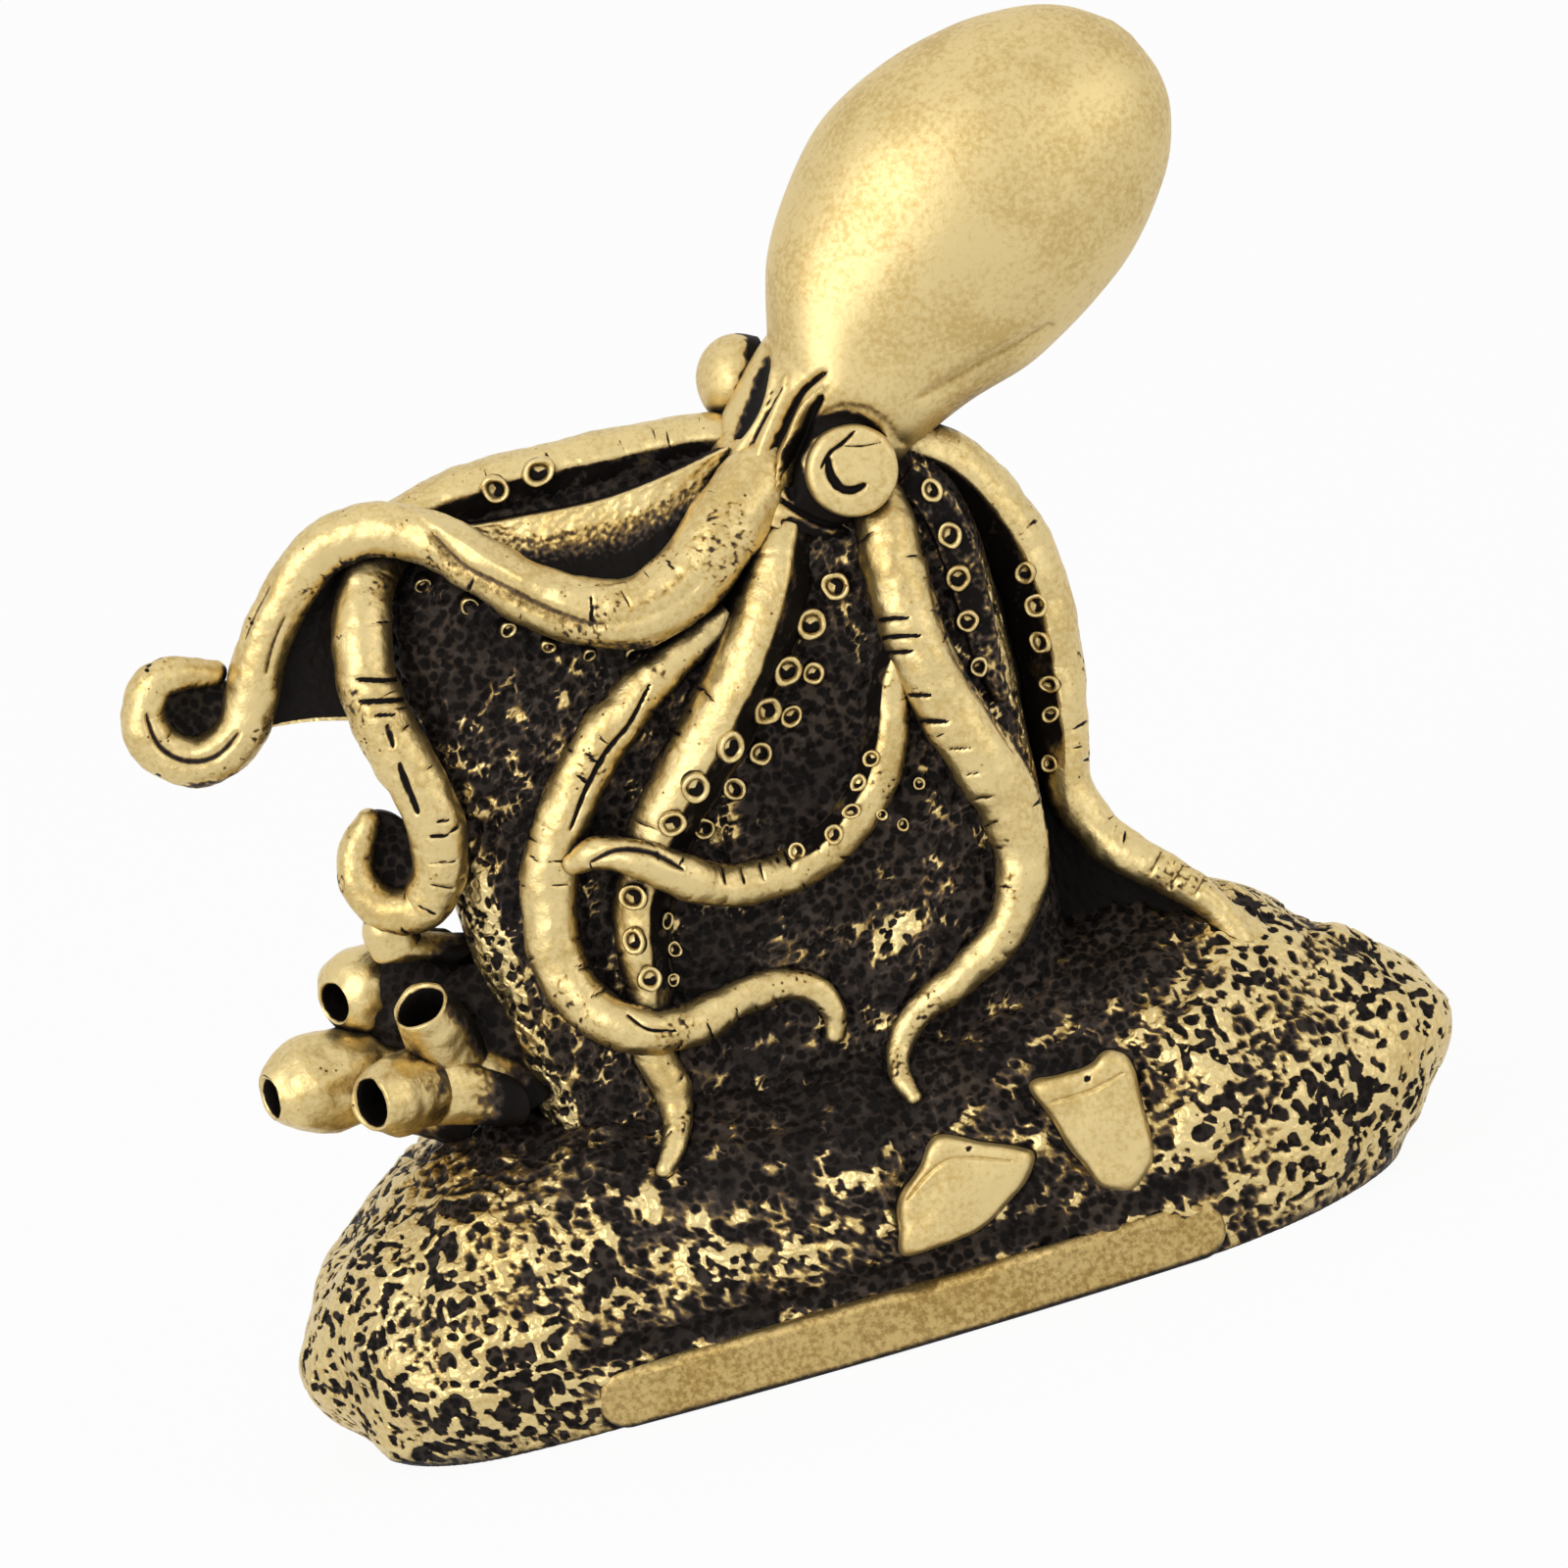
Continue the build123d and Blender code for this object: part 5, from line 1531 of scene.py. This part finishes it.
def make_sponge(number, mouth_share, root_share, facing, form_shares):
    """Tube sponge with an open mouth and a swollen body that bends back to its root."""
    mouth, root = rock_place(mouth_share), rock_place(root_share)
    rim, belly, back, foot = np.array(form_shares) * sponge_radius
    table = [(share * rim, distance * rim, dark) for share, distance, dark in sponge_mouth_shares]
    table.append((sponge_lip_share * rim, sponge_lip_back, 0.0))
    for *shares, distance, dark in sponge_body_shares:
        table.append((np.dot(shares, (rim, belly, foot)), distance * back, dark))
    radius, distance, dark = along(table, np.linspace(0, 1, sponge_rows)).T
    facing = unit(np.array(facing))
    rings = lathe_grid(np.column_stack([radius, -distance]), mouth, facing, sponge_columns)
    end = mouth - facing * distance[-1]
    share = np.linspace(0, 1, sponge_root_rows + 1)[1:]
    bend = share[:, None, None]
    bent = end + (root - end) * bend + (rings[-1] - end) * (1 + (foot / radius[-1] - 1) * bend)
    grid = np.concatenate([rings, bent])
    out = tube_normals(grid)
    size, height, seed = sponge_swellings
    grid = roughen(grid, out, [(size, height, seed + number), sponge_grain])
    darker = np.minimum(dark[-1] + sponge_root_patina * share**sponge_root_power, 1.0)
    patina = np.concatenate([dark, darker])[:, None] + mottling(grid, sponge_mottling)
    # Painted shade on the side that looks towards the rock and on the underside
    shaded_side = smooth_step(*sponge_rock_shade_edge, out[..., 0])
    shaded_side = shaded_side + sponge_under_shade_share * smooth_step(*sponge_under_shade_edge, -out[..., 2])
    patina = np.maximum(patina, sponge_side_shade * shaded_side + mottling(grid, sponge_side_shade_mottling))
    name = f"tube_sponge_{number}"
    return make_tube(f"cast_{name}", grid, patina, antique, "antique_brass", name)


# Skin between the arms, from lines of points as u, v and y
upper_web_lines = (
    [(-8.6, 33.6, -2.6), (-7.5, 33.1, -3.0), (-5.6, 32.85, -3.5), (-2.7, 32.6, -3.8), (-0.2, 32.75, -3.9),
     (2.6, 33.2, -3.6)],
    [(-8.8, 33.2, -3.6), (-7.2, 31.5, -4.6), (-5.3, 29.9, -5.2), (-3.4, 29.2, -5.3), (-1.2, 29.3, -5.2),
     (2.0, 31.0, -4.2)],
)
left_web_lines = (
    [(-12.6, 33.3, -3.3), (-14.3, 32.1, -3.2), (-15.6, 30.6, -3.1), (-16.4, 29.0, -3.0), (-16.9, 28.0, -3.0)],
    [(-12.3, 33.0, -3.6), (-13.1, 31.6, -3.9), (-13.6, 30.2, -4.1), (-13.8, 28.8, -4.2), (-14.0, 27.4, -4.2)],
)
# Skin that closes the gap between the rock and the arm on its right
side_web_lines = (
    [(8.0, 32.0, -1.2), (9.4, 30.4, -1.2), (9.9, 27.0, -1.2), (9.9, 23.0, -1.2), (9.7, 19.0, -1.2),
     (9.3, 15.0, -1.4), (9.4, 11.0, -1.6)],
    [(8.8, 31.6, -1.4), (10.6, 30.2, -1.2), (12.1, 26.6, -1.0), (12.1, 22.6, -1.1), (11.5, 19.0, -1.4),
     (12.2, 15.8, -2.0), (15.4, 11.2, -3.0)],
)
web_thickness = 1.1
web_rows, web_columns = 160, 60
web_texture = [(0.40, 0.05, 51), (0.17, 0.03, 51)]
web_mottling = [(0.15, 0.14, 51), (0.9, 0.05, 52)]
web_back_patina = 0.9
# How patina rises across the upper web, as rise, start and end, and along it
below_rises = ((0.40, 0.04, 0.30), (0.50, 0.34, 0.95))
below_along = 0.06
# The left web's patina, and where along it and across it its bright rim comes in
rim_patina = 0.95
rim_start, rim_side = (0.94, 0.98), (-0.2, 0.2)
skin_patina = 0.80


def make_web(name, lines, sag, fading, *nodes):
    """Sheet of skin that hangs between two arms, hollow towards the viewer. Fading gives its patina from
    one arm to the other and along it."""
    t, across = np.linspace(0, 1, web_rows), np.linspace(0, 1, web_columns)
    first, second = (along(in_depth(line), t) for line in lines)
    front = first[:, None] + (second - first)[:, None] * across[None, :, None]
    front[..., 1] += sag * 4 * across * (1 - across)
    back = front[:, ::-1] + np.array([0, web_thickness, 0])
    shade = fading(*np.meshgrid(t, across, indexing="ij")) + mottling(front, web_mottling)
    front[..., 1] -= mottling(front, web_texture)
    grid = np.concatenate([front, back], axis=1)
    patina = np.concatenate([shade, np.full(shade.shape, web_back_patina)], axis=1)
    return make_tube(f"cast_{name}", grid, np.clip(patina, 0, 1), antique, "dark_brass", *nodes)


def fading_below(t, across):
    """Bright along the upper edge, speckled below it and black at the foot."""
    return sum(rise * smooth_step(low, high, across) for rise, low, high in below_rises) + below_along * t


def fading_rim(t, across):
    """Dark down to a bright rim at the end."""
    return rim_patina * (1 - smooth_step(*rim_start, t) * smooth_step(*rim_side, across))


def fading_none(t, across):
    """Dark all over."""
    return skin_patina


# Dark lumps between the sponges: middle as u, v and y, and half sizes
sponge_lumps = [
    ((-14.4, 16.2, -0.6), (2.6, 1.6, 3.2)),
    ((-12.3, 14.2, -2.0), (2.3, 1.8, 3.2)),
]
lump_rows, lump_columns = 60, 90
lump_texture = [(1.2, 0.30, 58), (0.4, 0.08, 59)]
lump_patina, lump_mottling = 0.85, [(0.5, 0.30, 57)]


def make_sponge_lumps():
    """Rough dark metal between the sponges."""
    turns = np.linspace(-pi, pi, lump_columns, endpoint=False)
    rise = np.linspace(-pi / 2, pi / 2, lump_rows + 2)[1:-1, None]
    ball = ring_grid(np.cos(rise) * np.cos(turns), np.cos(rise) * np.sin(turns), np.sin(rise))
    for number, (middle, half_sizes) in enumerate(sponge_lumps, 1):
        grid = roughen(in_depth([middle])[0] + ball * half_sizes, ball, lump_texture)
        patina = lump_patina + mottling(grid, lump_mottling)
        make_tube(f"cast_sponge_lump_{number}", grid, np.clip(patina, 0, 1), darkened, "dark_brass")


# Dark metal left inside the hooks of two arms: middle as u, v and y, half sizes and turn in degrees
hook_fills = {
    "long_left": ((-19.35, 29.65, -2.7), (1.35, 1.25), 0),
    "over_top": ((-14.05, 22.1, -3.6), (1.25, 1.75), 12),
}
fill_rows, fill_columns = 24, 60
fill_thickness, fill_sag = 0.8, 0.45
fill_least_share = 0.02
fill_texture = [(0.5, 0.06, 55)]
fill_patina, fill_mottling = 0.92, [(0.5, 0.25, 56)]


def make_hook_fill(name, middle, half_sizes, turn):
    """Thin dark skin across the inside of a hook."""
    centre = in_depth([middle])[0]
    turns = np.linspace(-pi, pi, fill_columns, endpoint=False)
    c, s = cos(radians(turn)), sin(radians(turn))
    x, z = half_sizes[0] * np.cos(turns), half_sizes[1] * np.sin(turns)
    rim = ring_grid(x * c - z * s, 0.0, x * s + z * c)
    rings = [centre + rim + [0, fill_thickness, 0]]
    for share in np.linspace(1, fill_least_share, fill_rows):
        rings.append(centre + rim * share + [0, fill_sag * (1 - share**2), 0])
    grid = np.array(rings)
    grid[..., 1] += mottling(grid, fill_texture)
    patina = np.clip(fill_patina + mottling(grid, fill_mottling), 0, 1)
    return make_tube(f"cast_skin_in_hook_{name}", grid, patina, darkened, "dark_brass")


# Stones: outlines as they show, and how far their fronts stand forward of the mound a little above their
# middles
stone_outlines = {
    "stone_left": [
        (2.8, 6.25), (4.6, 5.45), (6.15, 4.65), (5.7, 3.75), (4.7, 3.0), (3.5, 2.3),
        (1.8, 2.15), (0.3, 2.2), (0.4, 3.2), (0.7, 4.3), (1.8, 5.3),
    ],
    "stone_right": [
        (6.7, 7.05), (7.8, 7.1), (9.0, 7.15), (9.8, 7.5), (10.5, 7.1), (10.65, 6.0), (10.6, 4.6),
        (10.45, 3.2), (9.9, 2.5), (9.15, 2.1), (8.25, 2.5), (7.8, 3.5), (7.35, 4.6), (7.0, 5.9),
    ],
}
stone_proud = 0.9
stone_above = 1.0
stone_depth = 3.2
# Two marks on each stone: a dark fleck and a faint crease
fleck_mark, crease_mark = (0.06, 0.75), (0.07, 0.10, 0.42)
stone_marks = {
    "stone_left": [
        (0.16, *fleck_mark, [(3.7, 5.35), (3.95, 5.45)]),
        (*crease_mark, [(1.0, 4.2), (2.9, 5.2), (5.2, 4.5)]),
    ],
    "stone_right": [
        (0.18, *fleck_mark, [(8.7, 6.6), (8.95, 6.7)]),
        (*crease_mark, [(7.2, 6.2), (8.8, 6.2), (10.2, 6.5)]),
    ],
}
# From a stone's back over its worn edge to its middle: size of the outline, and depth behind the front
stone_form_shares = [
    (0.97, 1.00), (1.00, 0.60), (1.00, 0.34), (0.985, 0.20), (0.94, 0.10), (0.88, 0.045), (0.78, 0.02),
    (0.60, 0.01), (0.35, 0.0), (0.03, 0.0),
]
stone_rows, stone_columns = 90, 180
stone_texture = [(1.6, 0.10, 61), (0.5, 0.02, 62)]
# The share of the way from a stone's back to its middle over which its patina ends
stone_patina_edge = (0.42, 0.24)


def make_stone(node):
    """Smooth stone with softly worn edges."""
    corners = np.array(stone_outlines[node])
    closed = np.vstack([corners[-1:], corners, corners[:2]])
    spans = len(closed) - 1
    outline = along(closed, np.linspace(1 / spans, (spans - 1) / spans, stone_columns + 1)[:-1])
    middle = outline.mean(axis=0)
    front = mound_front(middle[0], (middle[1] - rise_0) / rise_z + stone_above) + stone_proud
    places = np.linspace(0, 1, stone_rows)
    rings = []
    for size, back in along(stone_form_shares, places):
        seen = middle + (outline - middle) * size
        rings.append(in_depth(np.column_stack([seen, np.full(stone_columns, stone_depth * back - front)])))
    grid = np.array(rings)
    out = tube_normals(grid)
    grid = roughen(grid, out, stone_texture)
    patina = np.repeat(smooth_step(*stone_patina_edge, places)[:, None], stone_columns, axis=1)
    grid, patina = carve(grid, out, patina, stone_marks[node])
    return make_tube(f"cast_{node}", grid, patina, polished, "polished_brass", node)


# The plaque keeps its solid's shape and gets a finish
def finish_node(node, material):
    """Gives a solid of the frame its finish."""
    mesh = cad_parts[node].data
    mesh.materials.clear()
    mesh.materials.append(material)


# Making
rock = make_rock()
make_mound()
routes = {
    "front_right": seated_route(front_right_shares),
    "hooked": seated_route(hooked_shares),
    "front_left": seated_route(front_left_shares),
    "long_left": free_route(long_left_shares),
    "front_centre": seated_route(front_centre_shares),
    "over_top": free_route(over_top_shares),
    "side_right": free_route(side_right_shares),
    "rock_edge": seated_route(rock_edge_shares),
}
chance = np.random.default_rng(7)
arms = {name: make_arm(name, route, chance) for name, route in routes.items()}
for name in sucker_places:
    make_suckers(name, surface_finder([arms[name], rock]), chance)
make_body()
for node, eye in eyes.items():
    make_eye(node, *eye)
for number, sponge in enumerate(sponge_shares, 1):
    make_sponge(number, *sponge)
make_web("web_upper", upper_web_lines, 0.35, fading_below, "web_upper")
make_web("web_left", left_web_lines, 0.45, fading_rim, "web_left")
make_web("skin_side_right", side_web_lines, 0.3, fading_none)
make_sponge_lumps()
for name, fill in hook_fills.items():
    make_hook_fill(name, *fill)
for node in stone_outlines:
    make_stone(node)
finish_node("plaque", mottled)

# Stage, light and camera, in metres, but the sensor in millimetres
white = (1, 1, 1, 1)
floor_colour = (0.9, 0.9, 0.9, 1)
floor_seen_share = 0.94
floor_reach = 3.0
world_power = 0.60
sensor_width = 36.0
nearest_seen = 0.01
# Lights: place, size and power
lights = {
    "front_left": ((-0.22, -0.30, 0.20), 0.30, 0.62),
    "front_right": ((0.30, -0.24, 0.10), 0.26, 0.15),
    "top": ((0.0, 0.02, 0.40), 0.34, 0.05),
}


def seen_node(tree):
    """1 where the camera looks, straight or in a reflection, and 0 where light falls."""
    paths = add_node(tree, "ShaderNodeLightPath")
    return math_node(tree, "MAXIMUM", paths.outputs["Is Camera Ray"], paths.outputs["Is Glossy Ray"])


def mix_shaders(tree, share, first, second, surface):
    """Gives a surface two shaders, with the second one in a share."""
    mix = add_node(tree, "ShaderNodeMixShader")
    for socket, output in zip(mix.inputs, (share, first, second)):
        tree.links.new(output, socket)
    tree.links.new(mix.outputs["Shader"], surface)


def plain_material(name, colour, camera_share):
    """A matt floor, which the camera sees in part as plain white."""
    material, tree = nodes_of(name)
    matt = add_node(tree, "ShaderNodeBsdfDiffuse")
    matt.inputs["Color"].default_value = colour
    glow = add_node(tree, "ShaderNodeEmission")
    glow.inputs["Color"].default_value = white
    share = math_node(tree, "MULTIPLY", seen_node(tree), camera_share)
    surface = tree.nodes["Material Output"].inputs["Surface"]
    mix_shaders(tree, share, matt.outputs["BSDF"], glow.outputs["Emission"], surface)
    return material


def background(tree, power):
    """Plain white light from all around."""
    light = add_node(tree, "ShaderNodeBackground")
    light.inputs["Color"].default_value = white
    light.inputs["Strength"].default_value = power
    return light.outputs["Background"]


def add_light(name, place, size, power):
    """A soft square light that looks at the point that the camera looks at."""
    light = bpy.data.lights.new(name, "AREA")
    light.size = size
    light.energy = power
    thing = bpy.data.objects.new(name, light)
    thing.location = place
    thing.rotation_mode = "QUATERNION"
    thing.rotation_quaternion = (aim - Vector(place)).to_track_quat("-Z", "Y")
    bpy.context.scene.collection.objects.link(thing)


floor_mesh = bpy.data.meshes.new("floor")
floor_corners = [(x * floor_reach, y * floor_reach, 0) for x, y in ((-1, -1), (1, -1), (1, 1), (-1, 1))]
floor_mesh.from_pydata(floor_corners, [], [(0, 1, 2, 3)])
floor_mesh.materials.append(plain_material("floor", floor_colour, floor_seen_share))
floor = bpy.data.objects.new("floor", floor_mesh)
bpy.context.scene.collection.objects.link(floor)

world = bpy.data.worlds.new("studio")
bpy.context.scene.world = world
world.use_nodes = True
tree = world.node_tree
tree.nodes.clear()
sky = add_node(tree, "ShaderNodeOutputWorld").inputs["Surface"]
mix_shaders(tree, seen_node(tree), background(tree, world_power), background(tree, 1.0), sky)

aim = Vector(camera_aim) * MM
for name, light in lights.items():
    add_light(name, *light)

camera = bpy.data.cameras.new("camera")
camera.lens = camera_lens
camera.sensor_width = sensor_width
camera.clip_start = nearest_seen
viewer = bpy.data.objects.new("camera", camera)
back = Vector((0, -cos(radians(camera_elevation)), sin(radians(camera_elevation))))
turn = (-back).to_track_quat("-Z", "Y").to_matrix().to_4x4() @ Matrix.Rotation(radians(camera_roll), 4, "Z")
viewer.matrix_world = Matrix.Translation(aim + back * camera_distance * MM) @ turn
bpy.context.scene.collection.objects.link(viewer)
bpy.context.scene.camera = viewer
bpy.context.scene.view_settings.view_transform = "Standard"
